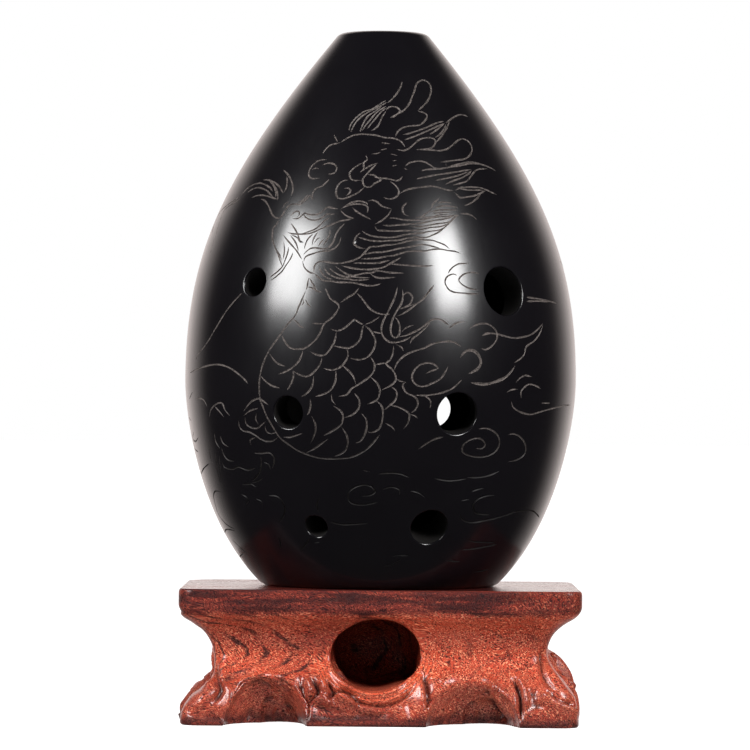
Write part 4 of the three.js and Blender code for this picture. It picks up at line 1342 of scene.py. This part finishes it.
def skin_mesh(shell, outline, row_step, rings, cut, zone, inside_out):
    """Divides a flattened skin into triangles around its cuts and openings, and wraps it back round."""
    places = []
    edges = []
    for ring in rings:
        around, along = outline.locate(ring)
        first = len(places)
        places += [tuple(place) for place in flatten(around, along)]
        edges += [(first + i, first + (i + 1) % RIM_POINTS) for i in range(RIM_POINTS)]
    centres = [ring.mean(axis=0) for ring in rings]
    reaches = [np.linalg.norm(ring - centre, axis=1).max() for ring, centre in zip(rings, centres)]
    if cut:
        edges += [(near + len(places), far + len(places)) for near, far in cut.edges]
        places += cut.points

    def blocked(around, along):
        point = outline.points(np.array(around), along)
        if any(np.linalg.norm(point - c) < reach + row_step / 3 for c, reach in zip(centres, reaches)):
            return True
        return bool(cut) and cut.tree.find(point)[2] < LINE_CLEARANCE

    places += flat_grid(outline, row_step, blocked)
    places = [Vector(place) for place in places]
    flat, _, triangles, *_ = geometry.delaunay_2d_cdt(places, edges, [], 0, SAME_PLACE)
    flat = np.array([tuple(place) for place in flat])
    around, along = flat[:, 0] / BELT_RADIUS, flat[:, 1]
    points = outline.points(around, along)
    kept = []
    zones = []
    for triangle in triangles:
        middle = points[list(triangle)].mean(axis=0)
        if any(inside_ring(middle, ring) for ring in rings):
            continue
        kept.append(triangle[::-1] if inside_out else triangle)
        zones.append("engraved" if cut and cut.depth(Vector(middle)) > 0 else zone)
    if cut:
        normals = outline.outward(around, along)
        sunk = {corner for triangle, kind in zip(kept, zones) if kind == "engraved" for corner in triangle}
        for corner in sunk:
            points[corner] -= normals[corner] * cut.depth(Vector(points[corner]))
    shell.add(points, kept, zones)


def inside_ring(point, ring):
    """Whether a point of the skin lies within a ring of points on it."""
    centre = ring.mean(axis=0)
    if np.linalg.norm(point - centre) > np.linalg.norm(ring - centre, axis=1).max():
        return False
    normal = np.cross(ring[0] - centre, ring[RIM_POINTS // 4] - centre)
    normal /= np.linalg.norm(normal)
    across = ring[0] - centre
    across /= np.linalg.norm(across)
    up = np.cross(normal, across)
    flat = np.stack([(ring - centre) @ across, (ring - centre) @ up], axis=-1)
    place = np.array([(point - centre) @ across, (point - centre) @ up])
    following = np.roll(flat, -1, axis=0)
    sides = (following[:, 0] - flat[:, 0]) * (place[1] - flat[:, 1])
    sides -= (following[:, 1] - flat[:, 1]) * (place[0] - flat[:, 0])
    return bool((sides > 0).all() or (sides < 0).all())


def bore_rings(hole):
    """Rings from the rounded rim on the skin to the chamber, along the bore."""
    rings = []
    for step in range(RIM_STEPS + 1):
        angle = math.pi / 2 * step / RIM_STEPS
        radius = hole.radius + RIM_ROUND * (1 - math.sin(angle))
        depth = RIM_ROUND * (1 - math.cos(angle))
        rings.append(hole.ring(SKIN, radius) - depth * hole.axis)
    return rings


def vessel_mesh():
    shell = Shell()
    cut = Cut(engraved_lines())
    rims = {name: bore_rings(hole) for name, hole in BORES.items()}
    exits = {name: hole.ring(CHAMBER, hole.radius) for name, hole in BORES.items()}
    skin_mesh(shell, SKIN, ROW_STEP, [rings[0] for rings in rims.values()], cut, "polished", False)
    skin_mesh(shell, CHAMBER, CHAMBER_ROW_STEP, list(exits.values()), None, "raw", True)
    for name, rings in rims.items():
        shell.rings(rings, "polished")
        shell.rings([rings[-1], (rings[-1] + exits[name]) / 2, exits[name]], "raw")
    foot = (SKIN.radii[0], SKIN.heights[0])
    crown = (SKIN.radii[-1], SKIN.heights[-1])
    floor_end = (CHAMBER.radii[0], CHAMBER.heights[0])
    crown_end = (CROWN_RADIUS - CROWN_EDGE, VESSEL_HEIGHT)
    lip_start, lip_end = (BLOW_RADIUS + BLOW_LIP, VESSEL_HEIGHT), (BLOW_RADIUS, VESSEL_HEIGHT - BLOW_LIP)
    sole = rounding((FOOT_RADIUS - FOOT_EDGE, 0), (FOOT_RADIUS, 0), foot, EDGE_SAMPLES)
    top = rounding(crown, (CROWN_RADIUS, VESSEL_HEIGHT), crown_end, EDGE_SAMPLES)
    lip = rounding(lip_start, (BLOW_RADIUS, VESSEL_HEIGHT), lip_end, EDGE_SAMPLES)
    floor_start = (FLOOR_RADIUS - CHAMBER_EDGE, FOOT_THICKNESS)
    floor = rounding(floor_start, (FLOOR_RADIUS, FOOT_THICKNESS), floor_end, EDGE_SAMPLES)
    sole_rings = turned_rings([(FOOT_RADIUS / 2, 0), *sole])
    floor_rings = turned_rings([(FLOOR_RADIUS / 2, FOOT_THICKNESS), *floor])
    shell.disc(sole_rings[0][::-1], "polished")
    shell.rings(sole_rings, "polished")
    shell.rings(turned_rings([*top, *lip]), "polished")
    shell.rings(turned_rings([lip[-1], (BLOW_RADIUS, CEILING), (CHAMBER.radii[-1], CEILING)]), "raw")
    shell.rings([ring[::-1] for ring in floor_rings], "raw")
    shell.disc(floor_rings[0], "raw")
    return shell


def build_vessel():
    shell = vessel_mesh()
    kinds = ["polished", "engraved", "raw"]
    mesh = bpy.data.meshes.new("xun_vessel")
    mesh.from_pydata(row_place(shell.points, VESSEL_LOW.z).tolist(), [], shell.faces)
    zones = [kinds.index(zone) for zone in shell.zones]
    mesh.attributes.new("zone", "INT", "FACE").data.foreach_set("value", zones)
    with shaping(mesh) as body:
        weld(body, into_triangles=True)
    zones = read_values(mesh.attributes["zone"].data, "value", 1, np.int32)
    mesh.polygons.foreach_set("material_index", zones)
    mesh.polygons.foreach_set("use_smooth", zones != kinds.index("engraved"))
    mesh.attributes.remove(mesh.attributes["zone"])
    for finish in (polished_pottery(), cut_pottery(), raw_pottery()):
        mesh.materials.append(finish)
    mesh.set_sharp_from_angle(angle=math.radians(SHARP_ANGLE))
    smooth_skin_normals(mesh, zones == kinds.index("polished"))
    return put_in_scene("xun_vessel", mesh)


def smooth_skin_normals(mesh, polished):
    """Gives the skin the normals of its true outline, so that reflections run clean across the lines."""
    normals = read_values(mesh.corner_normals, "vector")
    places = read_values(mesh.vertices, "co") / MM - np.array([0, 0, VESSEL_LOW.z])
    points = places[read_values(mesh.loops, "vertex_index", 1, np.int32)]
    on_polished = np.repeat(polished, read_values(mesh.polygons, "loop_total", 1, np.int32))
    around, along = SKIN.locate(points)
    low, high = SKIN.heights[0] - LEVEL_NEARNESS, SKIN.heights[-1] + LEVEL_NEARNESS
    level = (points[:, 2] >= low) & (points[:, 2] <= high)
    on_skin = np.abs(np.hypot(points[:, 0], points[:, 1]) - SKIN.radius(points[:, 2])) < SKIN_NEARNESS
    chosen = on_polished & level & on_skin
    normals[chosen] = SKIN.outward(around[chosen], along[chosen])
    mesh.normals_split_custom_set(normals.tolist())


# The stand


class Carving:
    """A ridge, or a crease where its height is below 0, along a path. Its sides have widths of their own."""

    def __init__(self, height, near_width, far_width, path):
        self.height = height
        self.widths = near_width, far_width
        self.path = smooth_through(path, CARVING_STEP)

    def lift(self, places):
        """How far it lifts the wood at each place."""
        starts, steps = self.path[:-1], np.diff(self.path, axis=0)
        sizes = np.maximum((steps ** 2).sum(axis=1), 1e-9)
        lift = np.zeros(len(places))
        low = self.path.min(axis=0) - max(self.widths)
        high = self.path.max(axis=0) + max(self.widths)
        close = np.flatnonzero(((places > low) & (places < high)).all(axis=1))
        if len(close) == 0:
            return lift
        offsets = places[close, None, :] - starts[None]
        along = np.clip((offsets * steps).sum(axis=2) / sizes, 0, 1)
        offsets -= along[:, :, None] * steps
        distances = np.hypot(offsets[:, :, 0], offsets[:, :, 1])
        nearest = distances.argmin(axis=1)
        rows = np.arange(len(close))
        distance = distances[rows, nearest]
        offset = offsets[rows, nearest]
        step = steps[nearest]
        side = step[:, 0] * offset[:, 1] - step[:, 1] * offset[:, 0]
        width = np.where(side < 0, *self.widths)
        run = (nearest + along[rows, nearest]) / len(steps)
        fade = np.minimum(1, np.minimum(run, 1 - run) * FADE_RATE)
        share = np.clip(1 - distance / width, 0, 1)
        lift[close] = self.height * share ** RIDGE_POWER * fade
        return lift


def carvings(table, scale=1):
    return [Carving(height, near * scale, far * scale, path) for height, near, far, path in table.values()]


def photo_place(points):
    """Where the photograph shows points of the shared frame, in its pixels."""
    away = VIEW_DISTANCE + points[:, 1]
    straight_x = AXIS_X_PX + FOCAL_PX * points[:, 0] / away
    straight_y = HORIZON_Y_PX - FOCAL_PX * (points[:, 2] - STAND_HEIGHT - VIEW_HEIGHT) / away
    x = straight_x - (straight_y - CENTRE_PX) * ROLL
    return np.stack([x, straight_y + (x - AXIS_X_PX) * ROLL], axis=-1)


def ease(values, low, high):
    share = np.clip((values - low) / (high - low), 0, 1)
    return share * share * (3 - 2 * share)


def slab_share(points):
    """1 on the slab's sides, 0 below it, and a smooth rise between."""
    return ease(points[:, 2], *(STAND_HEIGHT - below for below in SLAB_FADE))


def carve(points, normals):
    """How far the carving lifts the wood, or lowers it where that is below 0, on all four sides."""
    lift = np.zeros(len(points))
    side_places = points[:, 1:]
    turned = points * np.array(TURNED)
    faces = [
        (photo_place(points), -normals[:, 1], carvings({**ROOTS, **HOLLOW_LIP}, PX_PER_MM)),
        (photo_place(turned), normals[:, 1], carvings({**ROOTS, **BACK_ROOTS}, PX_PER_MM)),
        (side_places, normals[:, 0], carvings(SIDE_ROOTS)),
        (side_places * np.array([-1, 1]), -normals[:, 0], carvings({**SIDE_ROOTS, **LEFT_END_ROOTS})),
    ]
    for places, facing, cuts in faces:
        share = ease(facing, *SIDE_FACING)
        lift += share * sum(cut.lift(places) for cut in cuts)
    upright = 1 - ease(np.abs(normals[:, 2]), *LEVEL_FACING)
    return np.clip(lift, *LIFT_LIMITS) * upright * (1 - slab_share(points))


def neighbour_means(ends, points, counts):
    sums = np.empty_like(points)
    for column in range(points.shape[1]):
        sums[:, column] = np.bincount(ends[:, 0], points[ends[:, 1], column], len(points))
        sums[:, column] += np.bincount(ends[:, 1], points[ends[:, 0], column], len(points))
    return sums / counts


def edge_ends(mesh):
    """Both ends of every edge, and how many neighbours each point has."""
    ends = read_values(mesh.edges, "vertices", 2, np.int32)
    return ends, np.bincount(ends.ravel(), minlength=len(mesh.vertices))[:, None]


def cavity(mesh, points, normals):
    """How far each place lies in a crease, above 0, or on an edge, below 0, as a share of CAVITY_DEPTH."""
    ends, counts = edge_ends(mesh)
    smooth = points.copy()
    for _ in range(CAVITY_PASSES):
        smooth = neighbour_means(ends, smooth, counts)
    depth = ((smooth - points) * normals).sum(axis=1)[:, None]
    for _ in range(CAVITY_BLUR):
        depth = neighbour_means(ends, depth, counts)
    return np.clip(depth[:, 0] / CAVITY_DEPTH, -1, 1)


def rub_round(mesh, points):
    """Wears some edges round, and the slab's under edge, by drawing each point towards its neighbours."""
    ends, counts = edge_ends(mesh)
    near = np.zeros(len(points))
    for view in (points, points * np.array(TURNED)):
        front = view[:, 1] < 0
        places = photo_place(view)
        for path in RUBBED_EDGES:
            edge = Carving(1, RUBBED_REACH * PX_PER_MM, RUBBED_REACH * PX_PER_MM, path)
            near = np.maximum(near, np.minimum(1, edge.lift(places) * 2) * front)
    below, reach, most = UNDER_EDGE
    under = 1 - np.clip(np.abs(points[:, 2] - (STAND_HEIGHT - below)) / reach, 0, 1)
    near = np.maximum(near, most * under)
    near *= points[:, 2] > FLAT_BAND
    for _ in range(RUBBED_PASSES):
        points += (neighbour_means(ends, points, counts) - points) * RUBBED_PULL * near[:, None]


def round_rear_corners(points):
    """The slab's rear corners are rounder in plan than its front ones."""
    for side, radius in REAR_CORNERS.items():
        centre = np.array([side * (STAND_WIDTH / 2 - radius), STAND_DEPTH / 2 - radius])
        offset = (points[:, :2] - centre) * np.array([side, 1])
        inside = (offset > 0).all(axis=1)
        reach = np.hypot(*offset[inside].T)
        lean = offset[inside] / np.maximum(reach, 1e-6)[:, None]
        tight = radius - CORNER_RADIUS
        square = radius / lean.max(axis=1)
        along = lean.sum(axis=1) * tight
        rounded = along + np.sqrt(np.maximum(along ** 2 - 2 * tight ** 2 + CORNER_RADIUS ** 2, 0))
        in_arc = (lean * rounded[:, None] > tight).all(axis=1)
        edge = np.where(in_arc, rounded, square)
        points[inside, :2] = centre + (points[inside, :2] - centre) * (radius / edge)[:, None]


def swell_right_half(points):
    """The stand is a little wider on the right of the vessel than on its left."""
    share = np.clip(points[:, 0] / (STAND_WIDTH / 2), 0, 1)
    points[:, 0] += RIGHT_HALF_SWELL * share ** 2


def fit_left_end(points):
    """The left end is slimmer over its foot and fuller under the slab."""
    heights, insets = np.array(LEFT_END, float).T
    points[:, 0] += np.interp(points[:, 2], heights, insets) * ease(-points[:, 0], *LEFT_END_REACH)


def stand_side():
    """Insets and heights of the block's side, from the sole to the top."""
    slab_under = STAND_HEIGHT - SLAB_BAND
    cove_top = slab_under - SLAB_UNDER_DROP
    cove_rise = cove_top - WAIST_HEIGHT
    cove_span = WAIST_INSET - SLAB_UNDER_INSET
    toe_rise = WAIST_HEIGHT - TOE_HEIGHT
    toe_span = WAIST_INSET - TOE_INSET
    sole = rounding((SOLE_INSET, 0), (0, 0), (TOE_INSET, TOE_HEIGHT), SIDE_SAMPLES // 2)
    toe = bezier([
        (TOE_INSET, TOE_HEIGHT),
        (TOE_INSET + TOE_SHARES[1] * toe_span, TOE_HEIGHT + TOE_SHARES[0] * toe_rise),
        (WAIST_INSET, TOE_HEIGHT + TOE_SHARES[2] * toe_rise),
        (WAIST_INSET, WAIST_HEIGHT),
    ], SIDE_SAMPLES)
    cove = bezier([
        (WAIST_INSET, WAIST_HEIGHT),
        (WAIST_INSET, WAIST_HEIGHT + COVE_SHARES[0] * cove_rise),
        (SLAB_UNDER_INSET + COVE_SHARES[1] * cove_span, WAIST_HEIGHT + COVE_SHARES[2] * cove_rise),
        (SLAB_UNDER_INSET, cove_top),
    ], SIDE_SAMPLES)
    under = rounding((SLAB_UNDER_INSET, cove_top), (0, cove_top), (0, slab_under), SIDE_SAMPLES // 3)
    top_start, top_end = (0, STAND_HEIGHT - SLAB_EDGE), (SLAB_EDGE, STAND_HEIGHT)
    top = rounding(top_start, (0, STAND_HEIGHT), top_end, SIDE_SAMPLES // 3)
    return np.vstack([sole[:-1], toe[:-1], cove[:-1], under, top])


def stand_ring(inset, level):
    """One level of the block: a rectangle with rounded corners, anticlockwise seen from above."""
    across, along = STAND_WIDTH / 2 - CORNER_RADIUS - inset, STAND_DEPTH / 2 - CORNER_RADIUS - inset
    quarter = np.linspace(0, math.pi / 2, CORNER_SAMPLES)
    corners = []
    for turn, (right, back) in enumerate(((1, 1), (-1, 1), (-1, -1), (1, -1))):
        angles = quarter + turn * math.pi / 2
        x = right * across + CORNER_RADIUS * np.cos(angles)
        y = back * along + CORNER_RADIUS * np.sin(angles)
        corners.append(np.stack([x, y, np.full(CORNER_SAMPLES, level)], axis=-1))
    return np.vstack(corners)


def welded_object(name, shape):
    mesh = bpy.data.meshes.new(name)
    mesh.from_pydata((np.array(shape.points) * MM).tolist(), [], shape.faces)
    with shaping(mesh) as body:
        weld(body)
    return put_in_scene(name, mesh)


def hollow_cut():
    """The blind oval hollow: a round-ended bore, pressed to an oval and turned a little on its axis."""
    width, height, depth = HOLLOW_SIZE
    radius = height / 2
    mouth = -STAND_DEPTH / 2 - 1
    end = -STAND_DEPTH / 2 + WAIST_INSET + depth
    around = np.linspace(0, 2 * math.pi, HOLLOW_SEGMENTS, endpoint=False)
    round_end = rounding((radius, end - radius), (radius, end), (HOLLOW_TIP, end), HOLLOW_END_SAMPLES)
    tilt = math.radians(HOLLOW_TILT)
    rings = []
    for reach, along in [(radius, mouth), (radius, (mouth + end) / 2), *round_end]:
        x, z = reach * width / height * np.cos(around), reach * np.sin(around)
        tilted_x, tilted_z = x * math.cos(tilt) - z * math.sin(tilt), x * math.sin(tilt) + z * math.cos(tilt)
        ring = [tilted_x + HOLLOW_CENTRE[0], np.full(HOLLOW_SEGMENTS, along), tilted_z + HOLLOW_CENTRE[1]]
        rings.append(np.stack(ring, axis=-1))
    shape = Shell()
    shape.disc(rings[0], "cut")
    shape.rings(rings, "cut")
    shape.disc(rings[-1], "cut")
    return welded_object("hollow_cut", shape)


def ellipsoid(body, centre, radii):
    place = Matrix.Translation(Vector(centre) * MM) @ Matrix.Diagonal((*(radius * MM for radius in radii), 1))
    bmesh.ops.create_icosphere(body, subdivisions=5, radius=1, matrix=place)


def scoop_cut(centre, radii):
    mesh = bpy.data.meshes.new("scoop")
    with shaping(mesh) as body:
        ellipsoid(body, centre, radii)
    return put_in_scene("scoop", mesh)


def even_out(block):
    """Has the block remeshed into faces of one size."""
    block.modifiers.new("even", "REMESH").voxel_size = WOOD_VOXEL * MM


def wood_block():
    """The block with its feet, hollow and scoops, as one even mesh that is fine enough to carve."""
    shape = Shell()
    rings = [stand_ring(inset, level) for inset, level in stand_side()]
    shape.disc(rings[0][::-1], "wood")
    shape.rings(rings, "wood")
    shape.disc(rings[-1], "wood")
    block = welded_object("wood_block", shape)
    with shaping(block.data) as body:
        for centre, radii in REAR_FEET.values():
            ellipsoid(body, centre, radii)
    even_out(block)
    block = put_in_scene("wood_block", plain_mesh(block, "wood_block"))
    cuts = [hollow_cut()]
    for centre, radii in [*ARCHES.values(), END_SCOOP]:
        cuts += [scoop_cut(centre, radii), scoop_cut(np.array(centre) * TURNED, radii)]
    for cut in cuts:
        taken = block.modifiers.new("cut", "BOOLEAN")
        taken.object = cut
        taken.operation = "DIFFERENCE"
        taken.solver = "MANIFOLD"
    even_out(block)
    mesh = plain_mesh(block, "wood_block")
    for cut in cuts:
        bpy.data.objects.remove(cut)
    return fewer_triangles(mesh)


def points_and_normals(mesh):
    """Where the points of a mesh are, in millimetres, and which way the surface faces there."""
    places = read_values(mesh.vertices, "co").astype(float) / MM
    return places, read_values(mesh.vertex_normals, "vector").astype(float)


def fewer_triangles(mesh):
    """Joins triangles away from the front's carving until the piece is small enough."""
    block = put_in_scene("wood_block", mesh)
    points, normals = points_and_normals(mesh)
    plain = np.maximum(ease(points[:, 1], *SHOWN_CARVING), ease(np.abs(normals[:, 2]), *FLAT_WOOD))
    group = block.vertex_groups.new(name="plain")
    for vertex in np.flatnonzero(plain > 0.01).tolist():
        group.add([vertex], float(plain[vertex]), "REPLACE")
    joined = block.modifiers.new("fewer", "DECIMATE")
    joined.ratio = min(1, WOOD_TRIANGLES / sum(len(face.vertices) - 2 for face in mesh.polygons))
    joined.vertex_group = "plain"
    return plain_mesh(block, "wood_block")


def plain_mesh(source, name):
    """The evaluated object as a plain mesh of its own. The source object goes."""
    evaluated = source.evaluated_get(bpy.context.evaluated_depsgraph_get())
    mesh = bpy.data.meshes.new_from_object(evaluated)
    mesh.name = name
    bpy.data.objects.remove(source)
    return mesh


def gouge_marks():
    """Geometry nodes that cut fine gouge marks along the grain where the wood was carved."""
    tree = bpy.data.node_groups.new("gouge_marks", "GeometryNodeTree")
    tree.is_modifier = True
    interface = tree.interface
    interface.new_socket("Wood", in_out="INPUT", socket_type="NodeSocketGeometry")
    for name in ("Mark depth", "Marks per metre", "Seed"):
        interface.new_socket(name, in_out="INPUT", socket_type="NodeSocketFloat")
    interface.new_socket("Finish", in_out="INPUT", socket_type="NodeSocketMaterial")
    interface.new_socket("Wood", in_out="OUTPUT", socket_type="NodeSocketGeometry")
    marks = Tree(tree)
    wood, depth, count, seed, finish = (marks.add("NodeGroupInput", output=i) for i in range(5))
    position = marks.add("GeometryNodeInputPosition")
    stretched = marks.add("ShaderNodeVectorMath", {0: position, 1: GRAIN_STRETCH}, operation="MULTIPLY")
    values = {"Vector": stretched, "W": seed, "Scale": count, "Detail": 2.0}
    waves = marks.add("ShaderNodeTexNoise", values, noise_dimensions="4D")
    values = {"Vector": stretched, "Scale": count * MARK_CELLS, "Smoothness": CELL_SMOOTHNESS}
    cells = marks.add("ShaderNodeTexVoronoi", values, feature="SMOOTH_F1")
    carved = marks.add("GeometryNodeInputNamedAttribute", {"Name": "carved"}, data_type="FLOAT")
    lift = (waves * MARK_WAVES + cells - MARK_MIDDLE) * depth * carved
    normal = marks.add("GeometryNodeInputNormal")
    offset = marks.add("ShaderNodeVectorMath", {0: normal, "Scale": lift}, operation="SCALE")
    marked = marks.add("GeometryNodeSetPosition", {"Geometry": wood, "Offset": offset})
    whole = marks.add("GeometryNodeRealizeInstances", {"Geometry": marked})
    finished = marks.add("GeometryNodeSetMaterial", {"Geometry": whole, "Material": finish})
    marks.add("NodeGroupOutput", {0: finished})
    return tree


def mark_carved_wood(mesh, points):
    """Notes at each point how strongly gouge marks show there, and how deep in a crease it lies."""
    normals = points_and_normals(mesh)[1]
    carved = 1 - ease(np.abs(normals[:, 2]), *MARKED_FACING)
    carved *= 1 - (1 - SLAB_MARKS) * slab_share(points)
    top_share = ease(points[:, 2], *(STAND_HEIGHT - below for below in TOP_FADE))
    carved *= ease(points[:, 2], 0, SOLE_FADE) * (1 - top_share)
    for name, values in {"carved": carved, "cavity": cavity(mesh, points, normals)}.items():
        mesh.attributes.new(name, "FLOAT", "POINT").data.foreach_set("value", values)


def build_stand():
    mesh = wood_block()
    points, normals = points_and_normals(mesh)
    round_rear_corners(points)
    rub_round(mesh, points)
    points += normals * carve(points, normals)[:, None]
    swell_right_half(points)
    fit_left_end(points)
    for level, facing in ((STAND_HEIGHT, 1), (0, -1)):
        flat = (np.abs(points[:, 2] - level) < FLAT_BAND) & (normals[:, 2] * facing > FLAT_FACING)
        points[flat, 2] = level
    points[:, 2] = np.clip(points[:, 2], 0, STAND_HEIGHT)
    mesh.vertices.foreach_set("co", (points * MM).astype(np.float32).ravel())
    mesh.update()
    mark_carved_wood(mesh, points)
    finish = rosewood()
    mesh.materials.append(finish)
    block = put_in_scene("carved_block", mesh)
    marks = block.modifiers.new("gouge_marks", "NODES")
    marks.node_group = gouge_marks()
    sizes = {"Mark depth": MARK_DEPTH * MM, "Marks per metre": MARKS_PER_METRE, "Seed": MARK_SEED}
    sizes["Finish"] = finish
    for item in marks.node_group.interface.items_tree:
        if item.in_out == "INPUT" and item.name in sizes:
            marks[item.identifier] = sizes[item.name]
    finished = plain_mesh(block, "carved_stand")
    finished.attributes.remove(finished.attributes["carved"])
    with shaping(finished) as body:
        bmesh.ops.remove_doubles(body, verts=body.verts, dist=SAME_PLACE)
    finished.polygons.foreach_set("use_smooth", np.ones(len(finished.polygons), bool))
    finished.update()
    return put_in_scene("carved_stand", finished)


# Camera, floor and lights


def build_camera():
    camera = put_in_scene("camera", bpy.data.cameras.new("camera"))
    camera.data.sensor_width = SENSOR_WIDTH
    camera.data.lens = FOCAL_PX * SENSOR_WIDTH / PHOTO_SIDE_PX
    camera.data.clip_start, camera.data.clip_end = VIEW_CLIP
    pitch = math.atan((HORIZON_Y_PX - CENTRE_PX) / FOCAL_PX)
    yaw = math.atan((AXIS_X_PX - CENTRE_PX) / FOCAL_PX)
    place = Matrix.Translation((0, -VIEW_DISTANCE * MM, (VESSEL_LOW.z + VIEW_HEIGHT) * MM))
    aim = Matrix.Rotation(yaw, 4, "Z") @ Matrix.Rotation(math.pi / 2 + pitch, 4, "X")
    camera.matrix_world = place @ (aim @ Matrix.Rotation(ROLL, 4, "Z"))
    bpy.context.scene.camera = camera


def soft_light(name, azimuth, elevation, width, height, power):
    light = bpy.data.lights.new(name, "AREA")
    light.shape = "RECTANGLE"
    light.size = width
    light.size_y = height
    light.energy = power
    softbox = put_in_scene(name, light)
    around, up = math.radians(azimuth), math.radians(elevation)
    direction = Vector((math.sin(around) * math.cos(up), -math.cos(around) * math.cos(up), math.sin(up)))
    aim = Vector((0, 0, (VESSEL_LOW.z + LIGHT_AIM) * MM))
    turn = direction.to_track_quat("Z", "Y").to_matrix().to_4x4()
    softbox.matrix_world = Matrix.Translation(aim + direction * LIGHT_DISTANCE) @ turn


def build_floor():
    """A pale floor that only the camera sees. The world gives the light that comes from below."""
    finish = Finish("pale_floor", Roughness=0.9, Base_Color=opaque(FLOOR_GREY), Emission_Color=opaque(WHITE),
                    Emission_Strength=FLOOR_WHITENESS)
    mesh = bpy.data.meshes.new("floor")
    corners = [(-FLOOR_REACH, -FLOOR_REACH), (FLOOR_REACH, -FLOOR_REACH)]
    corners += [(-x, -y) for x, y in corners]
    mesh.from_pydata([(*corner, 0) for corner in corners], [], [(0, 1, 2, 3)])
    mesh.materials.append(finish.material)
    floor = put_in_scene("floor", mesh)
    floor.visible_glossy = False
    floor.visible_diffuse = False


def build_world():
    """A white surround to look at. The object reflects a dim one with a lit backdrop behind it, and a faint
    glow from all sides and a stronger one from below light it."""
    world = bpy.data.worlds.new("studio")
    world.use_nodes = True
    studio = Tree(world.node_tree)
    _, behind, level = studio.axes(studio.add("ShaderNodeTexCoord", output="Generated"))
    lit = behind.between(*BACKDROP_EDGE) * (BACKDROP_LOW + level.between(*BACKDROP_FADE) * (1 - BACKDROP_LOW))
    lit = lit * (BACKDROP - SURROUND) + SURROUND
    diffuse_ray = studio.add("ShaderNodeLightPath", output=2)
    lit = lit + diffuse_ray * ((0 - level).between(*FLOOR_EDGE) * (FLOOR_GLOW - STUDIO_GLOW) + STUDIO_GLOW)
    tint = studio.mix(diffuse_ray, GLOSS_TINT, WHITE)
    dim = studio.add("ShaderNodeBackground", {"Color": tint, "Strength": lit})
    seen = studio.add("ShaderNodeBackground", {"Color": opaque(WHITE)})
    camera_ray = studio.add("ShaderNodeLightPath")
    shown = studio.add("ShaderNodeMixShader", {0: camera_ray, 1: dim, 2: seen})
    studio.feed(studio.nodes["World Output"].inputs["Surface"], shown)
    bpy.context.scene.world = world
    bpy.context.scene.view_settings.view_transform = "Standard"


build_camera()
build_floor()
build_world()
for softbox_name, softbox_sizes in SOFTBOXES.items():
    soft_light(softbox_name, *softbox_sizes)

vessel = build_vessel()
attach(vessel, "xun")
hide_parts("xun_body")

stand = build_stand()
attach(stand, "stand")
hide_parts("display_stand")
